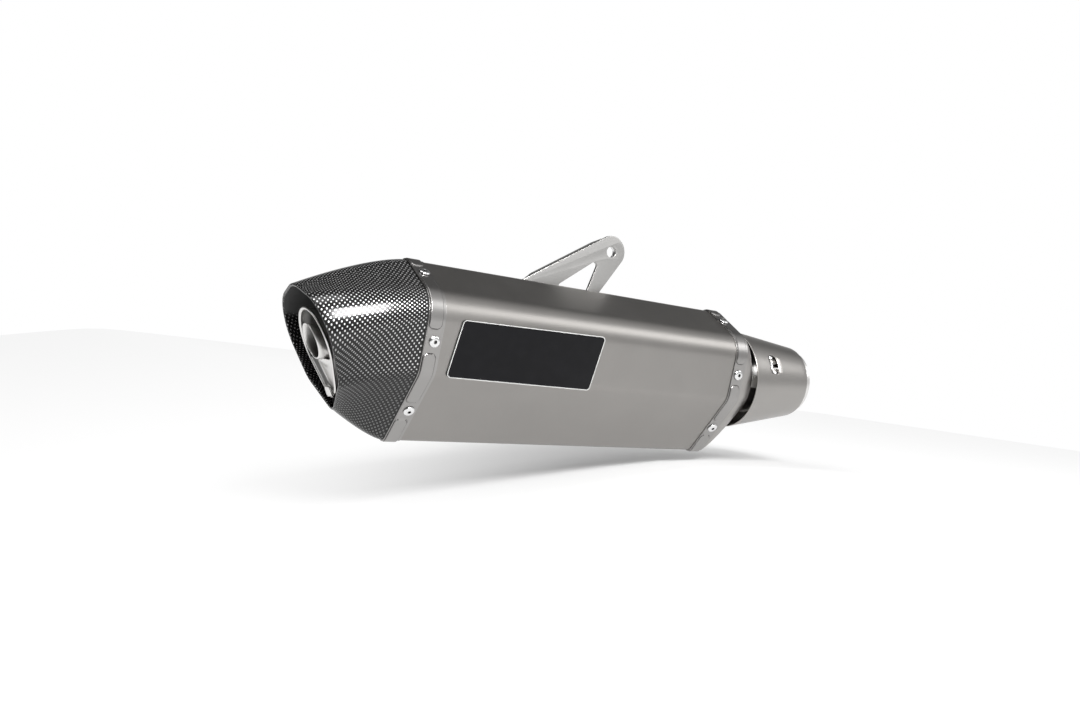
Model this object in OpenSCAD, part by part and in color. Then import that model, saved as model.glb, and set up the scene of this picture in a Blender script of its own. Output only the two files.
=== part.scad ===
// Racing slip-on silencer: tapered six-sided sleeve, carbon end cap, riveted straps,
// round inlet under a conical heat shield, straight perforated core and a removable
// noise insert in a teardrop outlet.
// Silencer axis along X, tail at -X, visible outer side at -Y. The origin is the centre
// of the inlet mouth.

/* [Sleeve] */
// Height of the section over the rear strap
section_h = 133; // [108:1:156]
// Half width at the upper corners, before rounding
upper_half_w = 52.4; // [46:0.2:60]
// Height of the upper corners above the sleeve axis
upper_z = 38.6; // [32:0.2:44]
// Half width at the lower corners, before rounding
lower_half_w = 45.4; // [40:0.2:52]
// Height of the lower corners above the sleeve axis
lower_z = -12.6; // [-20:0.2:-4]
// Corner radius along the top
top_r = 12; // [8:0.5:16]
// Corner radius at the upper corners
upper_r = 24; // [16:0.5:30]
// Corner radius at the lower corners
lower_r = 14; // [10:0.5:20]
// Corner radius along the bottom
bottom_r = 7; // [6:0.5:14]
// Distance between the rear edges of the two straps
sleeve_len = 266; // [221:1:320]
// Share of the section lost from strap to strap
sleeve_taper = 0.10; // [0.02:0.01:0.14]
// Rise of the section's centre from strap to strap
sleeve_rise = 6.1; // [0:0.1:10]
// Thickness of the sleeve sheet
sleeve_t = 1.0; // [0.8:0.1:1.5]

/* [Straps and rivets] */
// Width of the rear strap
rear_strap_w = 13; // [11:0.5:16]
// Width of the front strap
front_strap_w = 12; // [11:0.5:15]
// Thickness of both straps
strap_t = 1.2; // [1:0.1:1.6]
// Shank diameter of the blind rivets
rivet_d = 4; // [3.2:0.1:4.8]
// Flange diameter of the blind rivets
rivet_flange_d = 8; // [7:0.1:9.6]
// Flange height of the blind rivets
rivet_flange_h = 1.1; // [0.8:0.1:1.6]
// Diameter of the hollow left by the rivet's mandrel
rivet_hollow_d = 2.2; // [1.6:0.1:2.4]

/* [Carbon end cap] */
// Overhang of the lip's top behind the rear strap
lip_top_x = 78.5; // [64:0.5:93]
// Overhang of the lip's bottom behind the rear strap
lip_bottom_x = 36; // [33:1:43]
// Height of the lip's top above the sleeve axis
lip_top_z = 38.5; // [35:0.5:43]
// Depth of the lip's bottom below the sleeve axis
lip_bottom_z = 47.5; // [44:0.5:49]
// Half width of the lip at its upper corners
lip_upper_half_w = 51.5; // [48:0.5:53]
// Height of the lip's upper corners
lip_upper_z = 22; // [19:0.5:24]
// Half width of the lip at its lower corners
lip_lower_half_w = 31; // [28:0.5:33]
// Height of the lip's lower corners
lip_lower_z = -26.5; // [-29:0.5:-23]
// Laminate thickness of the end cap
cap_t = 2.0; // [1.5:0.1:2.6]

/* [Outlet and noise insert] */
// Radius of the wide upper part of the outlet
outlet_r = 22.5; // [21:0.1:23.5]
// Height of the outlet's upper arc centre above the sleeve axis
outlet_z = -1; // [-3:0.5:1]
// Radius of the narrow lower part of the outlet
outlet_low_r = 13; // [12:0.1:14]
// Height of the outlet's lower arc centre above the sleeve axis
outlet_low_z = -21; // [-23:0.5:-19.5]
// Wall of the outlet pipe
outlet_t = 1.2; // [1:0.1:1.5]
// How far the outlet's edge sits inside the lip
outlet_recess = 2.5; // [2:0.1:6]
// Radius of the insert's round tube
insert_r = 11.5; // [9.6:0.1:12]
// Wall of the insert's tube and plate
insert_t = 1.2; // [1:0.1:1.5]
// Reach of the insert's tube past the rear strap
insert_reach = 30; // [20:1:36]
// Gap between the insert's plate and the outlet
insert_gap = 0.35; // [0.3:0.05:0.6]
// Thread diameter of the insert's screw
insert_screw_d = 3; // [2.5:0.1:3.2]

/* [Core and packing] */
// Upward slope of the gas path towards the inlet, in degrees
path_pitch = 3.5; // [3:0.1:4]
// Outer radius of the perforated core
core_r = 22.8; // [21:0.1:23]
// Wall of the perforated core
core_t = 1.2; // [1:0.1:1.6]
// Diameter of the core's holes
core_hole_d = 7; // [4:0.5:8]
// Rows of holes along the core
core_rows = 9; // [6:1:12]
// Thickness of the inner plates
plate_t = 1.5; // [1.2:0.1:2]

/* [Inlet and heat shield] */
// Length of the inlet from the front strap's rear edge to the mouth
inlet_reach = 98; // [92:1:112]
// Height of the gas path where the heat shield starts
shield_rear_z = 11.6; // [9:0.1:13]
// Inner radius of the inlet socket
socket_r = 24.2; // [24.1:0.05:24.4]
// Wall of the inlet pipe
inlet_t = 1.2; // [1:0.1:1.4]
// Depth to which a link pipe slides in
socket_depth = 58; // [54:1:66]
// Width of the two slots in the socket
socket_slot_w = 2.5; // [2:0.1:3]
// Length of the two slots in the socket
socket_slot_l = 54; // [48:1:58]
// Outer radius of the heat shield at its wide end
shield_rear_r = 39; // [38:0.1:42]
// Outer radius of the heat shield at its narrow end
shield_front_r = 28.8; // [27:0.1:30]
// Length of the heat shield
shield_len = 62; // [58:1:68]
// Wall of the heat shield
shield_t = 0.9; // [0.8:0.1:1.1]
// How far the inlet mouth stands out of the heat shield
mouth_stand_out = 6; // [4:0.5:10]
// Radius of the round end of the front cap
front_cap_r = 34; // [32:0.1:37]
// Length of the front cap past the front strap
front_cap_len = 16; // [12:0.5:17]
// Wall of the front cap
front_cap_t = 1.2; // [1:0.1:1.5]

/* [Clamp] */
// Width of the clamp band along the inlet
clamp_w = 11; // [9:0.5:12]
// Thickness of the clamp band
clamp_t = 1.2; // [1:0.1:1.4]
// Distance of the clamp's middle from the inlet mouth
clamp_back = 45; // [42:1:50]
// Gap between the clamp's ears
clamp_gap = 5; // [4:0.5:6]
// Angle of the clamp's gap above the horizontal, on the outer side
clamp_angle = 25; // [15:1:35]
// Thread diameter of the clamp bolt
clamp_bolt_d = 4; // [3:0.5:4]

/* [Bracket] */
// Distance of the bracket's bolt hole from the rear strap's rear edge
bracket_hole_x = 182; // [170:1:200]
// Height of the bracket's bolt hole above the sleeve axis
bracket_hole_z = 97.5; // [92:0.5:110]
// Diameter of the bracket's bolt hole
bracket_hole_d = 8.5; // [7:0.1:9]
// Radius of the bracket's rounded tip
bracket_tip_r = 12.5; // [11:0.5:14]
// Offset of the bracket's plate from the middle plane
bracket_y = 19.5; // [16:0.5:22]
// Thickness of the bracket's sheet
bracket_t = 2.5; // [2:0.1:3]
// Length of the bracket's foot along the sleeve
bracket_foot_l = 76; // [70:1:92]
// Distance along the sleeve from the foot's middle to the bolt hole
bracket_lean = 49; // [44:1:54]
// Width of the bracket's foot
bracket_foot_w = 20; // [18:0.5:22]
// Height of the boss behind the bolt hole
boss_h = 2.5; // [2:0.1:5]

/* [Badge] */
// Length of the badge plate
badge_l = 116; // [98:1:136]
// Height of the badge plate
badge_h = 40; // [34:0.5:43]
// Thickness of the badge plate
badge_t = 0.8; // [0.6:0.1:1.2]
// Slant of the badge plate's short sides, in degrees
badge_slant = 9; // [0:1:15]

/* [Hidden] */
$fn = 64;
arc_steps = 6;      // steps along each rounded corner of the section
fit = 0.05;         // gap between pieces that are fixed to each other
loose = 0.3;        // gap between pieces that move past each other
over = 1;           // how far cutters run past what they cut
collar_l = 15;      // length of the cap collars inside the sleeve
sleeve_tuck = 1.5;  // distance of the sleeve's ends inside the straps' outer edges
cap_steps = 10;     // rings along the end cap's curve
rivet_share = [0.36, 0.565, 0.495]; // places along the upper, side and lower faces

sleeve_in = strap_t + fit;                  // inset of the sleeve's outer face
collar_in = sleeve_in + sleeve_t + 2 * fit; // inset of the collars' outer face
rear_collar_in = collar_in + cap_t;
front_collar_in = collar_in + front_cap_t;
rear_rivet_x = rear_strap_w * 0.58;
front_rivet_x = sleeve_len + front_strap_w * 0.5;
sleeve_front_x = sleeve_len + front_strap_w - sleeve_tuck;
cap_front_x = sleeve_len + front_strap_w;
rear_plate_x = collar_l - plate_t;
front_plate_x = sleeve_front_x - collar_l + fit;
mouth_x = sleeve_len + inlet_reach;
shield_back = -mouth_stand_out - shield_len; // wide end of the shield along the path
shield_rear_x = mouth_x + shield_back;
mouth_z = shield_rear_z + (mouth_x - shield_rear_x) * tan(path_pitch);
lip_height = lip_top_z + lip_bottom_z;
lip_lean = (lip_top_x - lip_bottom_x) / lip_height;
lip_angle = atan(lip_lean);
inlet_r = socket_r + inlet_t;
clamp_r = inlet_r + fit;
ear_t = 3;
ear_top = clamp_r + clamp_t + 5;
bolt_r = clamp_r + clamp_t + 2.9;
bolt_head_r = clamp_bolt_d * 0.8;
bolt_head_h = clamp_bolt_d * 0.8;
boss_wall = 1.6;                            // metal between the screw and the outlet
screw_z = outlet_low_z - outlet_low_r - insert_screw_d / 2 - boss_wall;
tab_w = 3 * insert_screw_d;                 // width of the insert's tab
lug_r = 0.95 * insert_screw_d;              // radius of the lug round the screw
screw_head_r = 0.85 * insert_screw_d;
rivet_lift = fit + rivet_flange_d / 2 * sleeve_taper * section_h / 2 / sleeve_len;
plate_depth = outlet_recess + 3;            // depth of the insert's plate inside the lip
lug_x = lip_x(screw_z) + outlet_recess + 4; // front face of the insert's screw lug
boss_l = 9;                                 // length of the screw's boss
foot_in = sleeve_in - 0.25;                 // inset of the bracket foot's underside
foot_step = 1.5;                            // step from the foot's ends to the plate's
bracket_lip_w = 6;                          // width of the bracket's bent edge
rear_edge_a = 32;                           // turn of the tip's rear edge from upright
front_edge_a = 28;                          // turn of the tip's front edge from level
bracket_mid_x = bracket_hole_x - bracket_lean;
bracket_hole = [bracket_hole_x, bracket_hole_z];
bracket_section = section_at(bracket_mid_x);
bracket_slope = atan((bracket_section[0] - bracket_section[2]) / bracket_section[1]);
bracket_base_z = bracket_section[0] - bracket_y * tan(bracket_slope);
bracket_edge_start = [bracket_mid_x - bracket_foot_l / 2 + foot_step, bracket_base_z + 3];
bracket_edge_end = bracket_hole + bracket_tip_r * [-sin(rear_edge_a), cos(rear_edge_a)];

function unit(v) = v / norm(v);
function wrap(a) = a > 180 ? a - 360 : a < -180 ? a + 360 : a;
function mix(a, b, t) = a * (1 - t) + b * t;

// A section is [top, upper half width, upper height, lower half width, lower height,
// bottom, top radius, upper radius, lower radius, bottom radius].
function section_at(x) = let (s = 1 - sleeve_taper * x / sleeve_len, c = sleeve_rise * x / sleeve_len)
    [section_h / 2 * s + c, upper_half_w * s, upper_z * s + c, lower_half_w * s, lower_z * s + c,
     -section_h / 2 * s + c, top_r * s, upper_r * s, lower_r * s, bottom_r * s];
lip_section = [lip_top_z, lip_upper_half_w, lip_upper_z, lip_lower_half_w, lip_lower_z,
    -lip_bottom_z, top_r * 2.5, upper_r * 1.2, lower_r * 1.35, bottom_r * 1.6];

function corners(p) = [[0, p[0]], [p[1], p[2]], [p[3], p[4]], [0, p[5]], [-p[3], p[4]], [-p[1], p[2]]];
function corner_radii(p) = [p[6], p[7], p[8], p[9], p[8], p[7]];

// Arc of one rounded corner: [centre, radius, first angle, turn]
function corner_arc(p, i) = let (
    v = corners(p), at = v[i], back = unit(v[(i + 5) % 6] - at), on = unit(v[(i + 1) % 6] - at),
    half = acos(back * on) / 2, r = corner_radii(p)[i],
    first = atan2(-back[0], back[1]), last = atan2(on[0], -on[1]))
    [at + unit(back + on) * r / sin(half), r, first, wrap(last - first)];
function outline(p, inset) = [for (i = [0:5]) let (a = corner_arc(p, i)) for (k = [0:arc_steps])
    let (t = a[2] + a[3] * k / arc_steps) a[0] + (a[1] - inset) * [cos(t), sin(t)]];
function outline_normals(p) = [for (i = [0:5]) let (a = corner_arc(p, i)) for (k = [0:arc_steps])
    let (t = a[2] + a[3] * k / arc_steps) [cos(t), sin(t)]];
function ring(p, x, inset, lean = 0) =
    [for (q = outline(p, inset)) [x + lean * (p[0] - q[1]), q[0], q[1]]];
function sleeve_ring(x, inset) = ring(section_at(x), x, inset);

// Rings of the end cap: t runs from the strap to the lip
function cap_section(t) = let (from = section_at(0), e = [1.5, 1.25, 1.2, 1.25, 1.2, 1.5, 1, 1, 1, 1])
    [for (i = [0:9]) mix(from[i], lip_section[i], pow(t, e[i]))];
function cap_ring(t, inset) = let (p = cap_section(t))
    ring(p, -lip_top_x * t, inset, (lip_top_x - lip_bottom_x) * t / (p[0] - p[5]));

// Rings of the front cap: t runs from the strap to the round end
function dome_ring(t, x, inset) = let (p = section_at(cap_front_x), o = outline(p, sleeve_in + inset),
    n = outline_normals(p), z = path_z(x))
    [for (i = [0:len(o) - 1]) [x, mix(o[i][0], (front_cap_r - inset) * n[i][0], t),
        mix(o[i][1], z + (front_cap_r - inset) * n[i][1], t)]];
function hole_ring(x, r) = let (n = outline_normals(section_at(cap_front_x)))
    [for (q = n) [x, r * q[0], path_z(x) + r * q[1]]];

function path_z(x) = shield_rear_z + (x - shield_rear_x) * tan(path_pitch);
function lip_x(z) = -lip_top_x + (lip_top_z - z) * lip_lean;

function quad(a, b, c, d) = [[a, b, c], [a, c, d]];
function skin_faces(m, n, base, turn) = [for (j = [0:m - 2], k = [0:n - 1])
    let (a = base + j * n + k, b = base + (j + 1) * n + k,
         c = base + (j + 1) * n + (k + 1) % n, d = base + j * n + (k + 1) % n)
    each (turn ? quad(a, d, c, b) : quad(a, b, c, d))];
function flat(rings) = [for (r = rings) each r];

// Closed sheet between an outer and an inner stack of rings, front ring first
module sheet(outer, inner) {
    n = len(outer[0]);
    mo = len(outer);
    mi = len(inner);
    io = mo * n;
    rim_front = [for (k = [0:n - 1]) each quad(k, (k + 1) % n, io + (k + 1) % n, io + k)];
    lo = (mo - 1) * n;
    li = io + (mi - 1) * n;
    rim_back = [for (k = [0:n - 1]) each quad(lo + k, li + k, li + (k + 1) % n, lo + (k + 1) % n)];
    polyhedron(concat(flat(outer), flat(inner)),
        concat(skin_faces(mo, n, 0, false), skin_faces(mi, n, io, true), rim_front, rim_back));
}

// Solid through a stack of rings, front ring first
module body(rings) {
    n = len(rings[0]);
    m = len(rings);
    polyhedron(flat(rings), concat(skin_faces(m, n, 0, false), [[for (k = [0:n - 1]) k]],
        [[for (k = [n - 1:-1:0]) (m - 1) * n + k]]));
}

// From the sleeve's own place to the part's frame
module place() {
    translate([-mouth_x, 0, -mouth_z]) children();
}

// Along the gas path: the mouth at the origin, the silencer towards -X
module on_path() {
    rotate([0, -path_pitch, 0]) children();
}

module tube_x(r, from, to) {
    translate([from, 0, 0]) rotate([0, 90, 0]) cylinder(r = r, h = to - from);
}

// Puts children on a face of the section at x: +Z out of the face, origin on it
module on_face(x, i, share, side) {
    p = section_at(x);
    a = corners(p)[i];
    b = corners(p)[i + 1];
    q = a + (b - a) * share;
    turn = atan2(b[1] - a[1], b[0] - a[0]);
    mirror([0, side < 0 ? 1 : 0, 0]) translate([x, q[0], q[1]]) rotate([turn, 0, 0]) children();
}

module on_rivets(x) {
    for (side = [-1, 1], i = [0:2]) on_face(x, i, rivet_share[i], side) children();
}

// Blind rivet set in a face; grip is the depth of the sheets below the face
module rivet(grip) {
    tail_h = 1;
    difference() {
        union() {
            rotate_extrude() polygon(concat([[0, 0], [rivet_flange_d / 2, 0]],
                [for (k = [0:4]) let (a = k * 90 / 4) [rivet_flange_d / 2 - rivet_flange_h * (1 - cos(a)),
                    rivet_flange_h * sin(a)]], [[0, rivet_flange_h]]));
            translate([0, 0, -grip - tail_h]) cylinder(d = rivet_d, h = grip + tail_h + fit);
            translate([0, 0, -grip - tail_h]) cylinder(d = rivet_d + 1.2, h = tail_h - fit);
        }
        translate([0, 0, -grip - tail_h - over]) cylinder(d = rivet_hollow_d, h = grip + 2 * over + 4);
    }
}

module rivet_holes(x) {
    on_rivets(x) translate([0, 0, -12]) cylinder(d = rivet_d + 2 * fit, h = 16);
}

// Outline of the outlet: a wide upper arc and a narrow lower arc
module teardrop(inset) {
    hull() {
        translate([0, outlet_z]) circle(r = outlet_r - inset);
        translate([0, outlet_low_z]) circle(r = outlet_low_r - inset);
    }
}

// Teardrop prism along X
module teardrop_x(inset, from, to) {
    translate([from, 0, 0]) rotate([90, 0, 90]) linear_extrude(to - from) teardrop(inset);
}

// Everything that lies more than depth inside the lip's plane
module inside_lip(depth) {
    translate([-lip_top_x, 0, lip_top_z]) rotate([0, -lip_angle, 0])
        translate([depth * cos(lip_angle), -200, -300]) cube([500, 400, 600]);
}

module carbon_end_cap() {
    place() color([0.07, 0.07, 0.08]) difference() {
        sheet(concat([sleeve_ring(collar_l, collar_in), sleeve_ring(sleeve_tuck - 0.2, collar_in),
                sleeve_ring(sleeve_tuck - 0.3, sleeve_in)],
                [for (k = [0:cap_steps]) cap_ring(k / cap_steps, sleeve_in)]),
            concat([sleeve_ring(collar_l, rear_collar_in), sleeve_ring(sleeve_tuck - 0.2, rear_collar_in)],
                [for (k = [1:cap_steps]) cap_ring(k / cap_steps, rear_collar_in -
                    (rear_collar_in - sleeve_in - cap_t) * min(1, 2 * k / cap_steps))]));
        rivet_holes(rear_rivet_x);
    }
}

module strap(from, to, rivet_x) {
    place() color([0.72, 0.70, 0.67]) difference() {
        sheet([sleeve_ring(to, 0), sleeve_ring(from, 0)],
            [sleeve_ring(to, strap_t), sleeve_ring(from, strap_t)]);
        rivet_holes(rivet_x);
    }
}

module rear_strap() {
    strap(0, rear_strap_w, rear_rivet_x);
}

module front_strap() {
    strap(sleeve_len, sleeve_len + front_strap_w, front_rivet_x);
}

module rear_rivets() {
    place() color([0.85, 0.85, 0.86]) on_rivets(rear_rivet_x)
        translate([0, 0, rivet_lift]) rivet(rear_collar_in + 3 * fit);
}

module front_rivets() {
    place() color([0.85, 0.85, 0.86]) on_rivets(front_rivet_x)
        translate([0, 0, rivet_lift]) rivet(front_collar_in + 3 * fit);
}

module outer_sleeve() {
    in_face = sleeve_in + sleeve_t;
    place() color([0.55, 0.53, 0.50]) difference() {
        sheet([sleeve_ring(sleeve_front_x, sleeve_in), sleeve_ring(sleeve_tuck, sleeve_in)],
            [sleeve_ring(sleeve_front_x, in_face), sleeve_ring(sleeve_tuck, in_face)]);
        rivet_holes(rear_rivet_x);
        rivet_holes(front_rivet_x);
        bracket_rivet_places() translate([0, 0, -8]) cylinder(d = rivet_d + 2 * fit, h = 16);
    }
}

module front_cap() {
    steps = 6;
    wall_x = cap_front_x + front_cap_len;
    hole_r = inlet_r + 4 * fit;
    place() color([0.60, 0.58, 0.55]) difference() {
        sheet(concat([hole_ring(wall_x, hole_r)],
                [for (k = [steps:-1:0]) let (t = k / steps)
                    dome_ring(pow(t, 1.4), cap_front_x + front_cap_len * t, 0)],
                [sleeve_ring(sleeve_front_x + 0.3, sleeve_in), sleeve_ring(sleeve_front_x + 0.2, collar_in),
                 sleeve_ring(sleeve_front_x - collar_l, collar_in)]),
            concat([hole_ring(wall_x - front_cap_t, hole_r)],
                [for (k = [steps:-1:1]) let (t = k / steps)
                    dome_ring(pow(t, 1.4), cap_front_x + front_cap_len * t - front_cap_t, front_cap_t)],
                [sleeve_ring(sleeve_front_x - 1, front_collar_in),
                 sleeve_ring(sleeve_front_x - collar_l, front_collar_in)]));
        rivet_holes(front_rivet_x);
    }
}

module inlet_pipe() {
    back = (mouth_x - front_plate_x) / cos(path_pitch) - 6;
    color([0.80, 0.79, 0.77]) on_path() difference() {
        tube_x(inlet_r, -back, 0);
        tube_x(socket_r, -socket_depth, over);
        tube_x(core_r + 4 * fit, -back - over, -socket_depth + over);
        for (a = [0, 180]) rotate([a - clamp_angle, 0, 0])
            translate([-socket_slot_l, -inlet_r - over, -socket_slot_w / 2])
            cube([socket_slot_l + over, inlet_r / 2, socket_slot_w]);
    }
}

module inlet_shield() {
    color([0.58, 0.56, 0.53]) on_path() difference() {
        shield_cone(0);
        shield_cone(shield_t);
        translate([-mouth_stand_out - 0.01, 0, 0]) tube_x(shield_front_r - shield_t, 0, over);
        translate([shield_back - over + 0.01, 0, 0]) tube_x(shield_rear_r - shield_t, 0, over);
        access_hole();
    }
}

// Cone of the heat shield, smaller all round by inset
module shield_cone(inset) {
    translate([-mouth_stand_out, 0, 0]) rotate([0, -90, 0])
        cylinder(r1 = shield_front_r - inset, r2 = shield_rear_r - inset, h = shield_len);
}

// Oval hole over the clamp bolt
module access_hole() {
    hole_r = 4.5;
    reach = 3.5;
    rotate([-clamp_angle, 0, 0]) translate([-clamp_back - 1, 0, 0]) rotate([90, 0, 0]) {
        for (s = [-1, 1]) translate([0, s * reach, socket_r]) cylinder(r = hole_r, h = shield_rear_r);
        translate([-hole_r, -reach, socket_r]) cube([2 * hole_r, 2 * reach, shield_rear_r]);
    }
}

module shield_stays() {
    stay_x = shield_back + 5;
    color([0.62, 0.60, 0.58]) on_path() for (a = [90, 210, 330]) rotate([a, 0, 0]) difference() {
        translate([stay_x, -5, inlet_r + fit - 1]) cube([10, 10, shield_rear_r - inlet_r]);
        tube_x(inlet_r + fit, stay_x - over, stay_x + 10 + over);
        translate([stay_x + 2, -6, inlet_r + 2.5]) cube([6, 12, 5]);
        difference() {
            tube_x(shield_rear_r + 10, stay_x - over, stay_x + 10 + over);
            shield_cone(shield_t + fit);
        }
    }
}

// Puts children on the clamp: X along the path, +Z outwards through the gap
module on_clamp() {
    on_path() translate([-clamp_back, 0, 0]) rotate([90 - clamp_angle, 0, 0]) children();
}

module clamp_band() {
    color([0.75, 0.75, 0.76]) on_clamp() difference() {
        union() {
            tube_x(clamp_r + clamp_t, -clamp_w / 2, clamp_w / 2);
            for (s = [0, 1]) mirror([0, s, 0]) translate([-clamp_w / 2, clamp_gap / 2, clamp_r - 2])
                cube([clamp_w, ear_t, ear_top - clamp_r + 2]);
        }
        tube_x(clamp_r, -clamp_w / 2 - over, clamp_w / 2 + over);
        translate([-clamp_w / 2 - over, -clamp_gap / 2, 0]) cube([clamp_w + 2 * over, clamp_gap, 60]);
        translate([0, -30, bolt_r]) rotate([-90, 0, 0]) cylinder(d = clamp_bolt_d + 2 * fit, h = 60);
    }
}

module clamp_bolt() {
    end = clamp_gap / 2 + ear_t;
    color([0.80, 0.80, 0.82]) on_clamp() translate([0, 0, bolt_r]) rotate([-90, 0, 0]) difference() {
        union() {
            translate([0, 0, -end - 2.6]) cylinder(d = clamp_bolt_d, h = 2 * end + 2.6 + loose);
            translate([0, 0, end + loose]) cylinder(r = bolt_head_r, h = bolt_head_h);
        }
        translate([0, 0, end + loose + bolt_head_h * 0.4])
            cylinder(d = bolt_head_r, h = bolt_head_h, $fn = 6);
    }
}

module clamp_nut() {
    end = clamp_gap / 2 + ear_t;
    color([0.70, 0.70, 0.72]) on_clamp()
        translate([0, -end - fit, bolt_r]) rotate([90, 0, 0]) difference() {
        cylinder(r = bolt_head_r * 1.1, h = 2.4, $fn = 6);
        translate([0, 0, -over]) cylinder(d = clamp_bolt_d + 2 * fit, h = 6);
    }
}

module perforated_core() {
    color([0.66, 0.65, 0.63]) place() translate([mouth_x, 0, mouth_z]) on_path() difference() {
        tube_x(core_r, core_back(), core_front());
        tube_x(core_r - core_t, core_back() - over, core_front() + over);
        for (row = [0:core_rows - 1], a = [0:5])
            translate([mix(core_back() + 20, core_front() - 26, row / (core_rows - 1)), 0, 0])
                rotate([a * 60 + (row % 2) * 30, 0, 0]) translate([0, 0, core_r - core_t - over])
                cylinder(d = core_hole_d, h = core_t + 2 * over, $fn = 20);
    }
}

// Ends of the core, measured along the path from the mouth
function core_back() = -(mouth_x - rear_plate_x - plate_t - fit) / cos(path_pitch)
    + core_r * tan(path_pitch);
function core_front() = -(mouth_x - front_plate_x) / cos(path_pitch) + 18;

module wool_packing() {
    back = rear_plate_x + plate_t + loose;
    front = front_plate_x - loose;
    inset = sleeve_in + sleeve_t + 1.3;
    color([0.86, 0.80, 0.62]) place() difference() {
        body([sleeve_ring(front, inset), sleeve_ring(back, inset)]);
        translate([mouth_x, 0, mouth_z]) on_path() tube_x(core_r + fit, -2 * mouth_x, 0);
    }
}

// Plate that fills the section from x on, smaller all round by inset
module inner_plate(x, inset) {
    body([sleeve_ring(x + plate_t, inset), sleeve_ring(x, inset)]);
}

module front_inner_plate() {
    color([0.64, 0.63, 0.61]) place() difference() {
        inner_plate(front_plate_x, front_collar_in + fit);
        translate([mouth_x, 0, mouth_z]) on_path() tube_x(core_r + 2 * fit, -2 * mouth_x, 0);
    }
}

module rear_inner_plate() {
    color([0.64, 0.63, 0.61]) place() difference() {
        inner_plate(rear_plate_x, rear_collar_in + fit);
        teardrop_x(outlet_t, rear_plate_x - over, rear_plate_x + plate_t + over);
    }
}

module outlet_pipe() {
    color([0.82, 0.81, 0.79]) place() intersection() {
        difference() {
            teardrop_x(0, -lip_top_x, rear_plate_x - fit);
            teardrop_x(outlet_t, -lip_top_x - over, rear_plate_x + over);
        }
        inside_lip(outlet_recess);
    }
}

// Tab that hooks over the outlet's lower edge and ends in a lug for the screw
module insert_tab() {
    below = outlet_low_z - outlet_low_r - loose;
    edge_x = tab_edge_x();
    intersection() {
        translate([-lip_top_x, -tab_w / 2, below - insert_t]) cube([2 * lip_top_x, tab_w, 5 + insert_t]);
        difference() {
            inside_lip(outlet_recess - loose - insert_t);
            inside_lip(outlet_recess - loose);
        }
    }
    intersection() {
        translate([0, -tab_w / 2, 0]) teardrop_slot();
        difference() {
            inside_lip(outlet_recess - loose - insert_t);
            inside_lip(plate_depth + insert_t);
        }
    }
    translate([edge_x - insert_t, -tab_w / 2, below - insert_t])
        cube([lug_x - edge_x + insert_t, tab_w, insert_t]);
    translate([0, 0, screw_z]) tube_x(lug_r, lug_x - insert_t, lug_x);
}
function tab_edge_x() = lip_x(outlet_low_z - outlet_low_r - loose) + outlet_recess - loose;

// Space just inside the outlet's lower arc, as wide as the tab
module teardrop_slot() {
    intersection() {
        translate([0, tab_w / 2, 0]) teardrop_x(outlet_t + insert_gap, -lip_top_x, 0);
        translate([-lip_top_x, 0, outlet_low_z - outlet_low_r]) cube([lip_top_x, tab_w, 5]);
    }
}

module noise_insert() {
    color([0.80, 0.79, 0.76]) place() difference() {
        union() {
            intersection() {
                tube_x(insert_r, -lip_top_x, insert_reach);
                inside_lip(0);
            }
            intersection() {
                teardrop_x(outlet_t + insert_gap, -lip_top_x, 0);
                difference() {
                    inside_lip(plate_depth);
                    inside_lip(plate_depth + insert_t);
                }
            }
            insert_tab();
        }
        tube_x(insert_r - insert_t, -2 * lip_top_x, 2 * lip_top_x);
        translate([0, 0, screw_z]) {
            tube_x(insert_screw_d / 2 + loose, lug_x - insert_t - over, lug_x + over);
            tube_x(screw_head_r + loose, tab_edge_x() - insert_t - over, lug_x - insert_t);
        }
    }
}

module insert_screw() {
    head_x = lug_x - insert_t - fit;
    head_h = insert_screw_d * 0.6;
    color([0.35, 0.35, 0.37]) place() translate([0, 0, screw_z]) difference() {
        union() {
            tube_x(screw_head_r, head_x - head_h, head_x);
            tube_x(insert_screw_d / 2, head_x - fit, lug_x + loose + boss_l);
        }
        translate([head_x - head_h - over, 0, 0]) rotate([0, 90, 0])
            cylinder(r = insert_screw_d * 0.4, h = head_h * 0.6 + over, $fn = 6);
    }
}

module screw_boss() {
    from = lug_x + loose;
    color([0.74, 0.73, 0.71]) place() difference() {
        translate([0, 0, screw_z]) tube_x(insert_screw_d, from, from + boss_l);
        translate([0, 0, screw_z]) tube_x(insert_screw_d / 2 + fit, from - over, from + boss_l + over);
        teardrop_x(-fit, from - over, from + boss_l + over);
    }
}

module badge_plate() {
    x = sleeve_len * 0.305;
    lean = badge_h / 2 * tan(badge_slant);
    r = 3;
    share = 0.625;
    color([0.05, 0.05, 0.05]) place() on_face(x, 1, share, -1) translate([0, 0, -strap_t + 0.25])
        rotate([0, badge_twist(x), 0]) linear_extrude(badge_t) {
        polygon([for (q = [[-1, -1], [1, -1], [1, 1], [-1, 1]])
            [q[0] * (badge_l / 2 - r) - q[1] * lean, q[1] * badge_h / 2]]);
        polygon([for (q = [[-1, -1], [1, -1], [1, 1], [-1, 1]])
            [q[0] * badge_l / 2 - q[1] * lean, q[1] * (badge_h / 2 - r)]]);
        for (i = [-1, 1], j = [-1, 1])
            translate([i * (badge_l / 2 - r) - j * lean, j * (badge_h / 2 - r)]) circle(r = r);
    }
}

// Slope of the side face along X, which the badge follows
function badge_twist(x) = atan((face_w(x - 50) - face_w(x + 50)) / 100);
function face_w(x) = let (p = section_at(x)) (p[1] + p[3]) / 2;

// Frame on the inner upper face, where the bracket's foot lies: +Z out of the face
module on_bracket_face(y) {
    translate([bracket_mid_x, y, bracket_section[0] - y * tan(bracket_slope)])
        rotate([-bracket_slope, 0, 0]) children();
}

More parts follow.
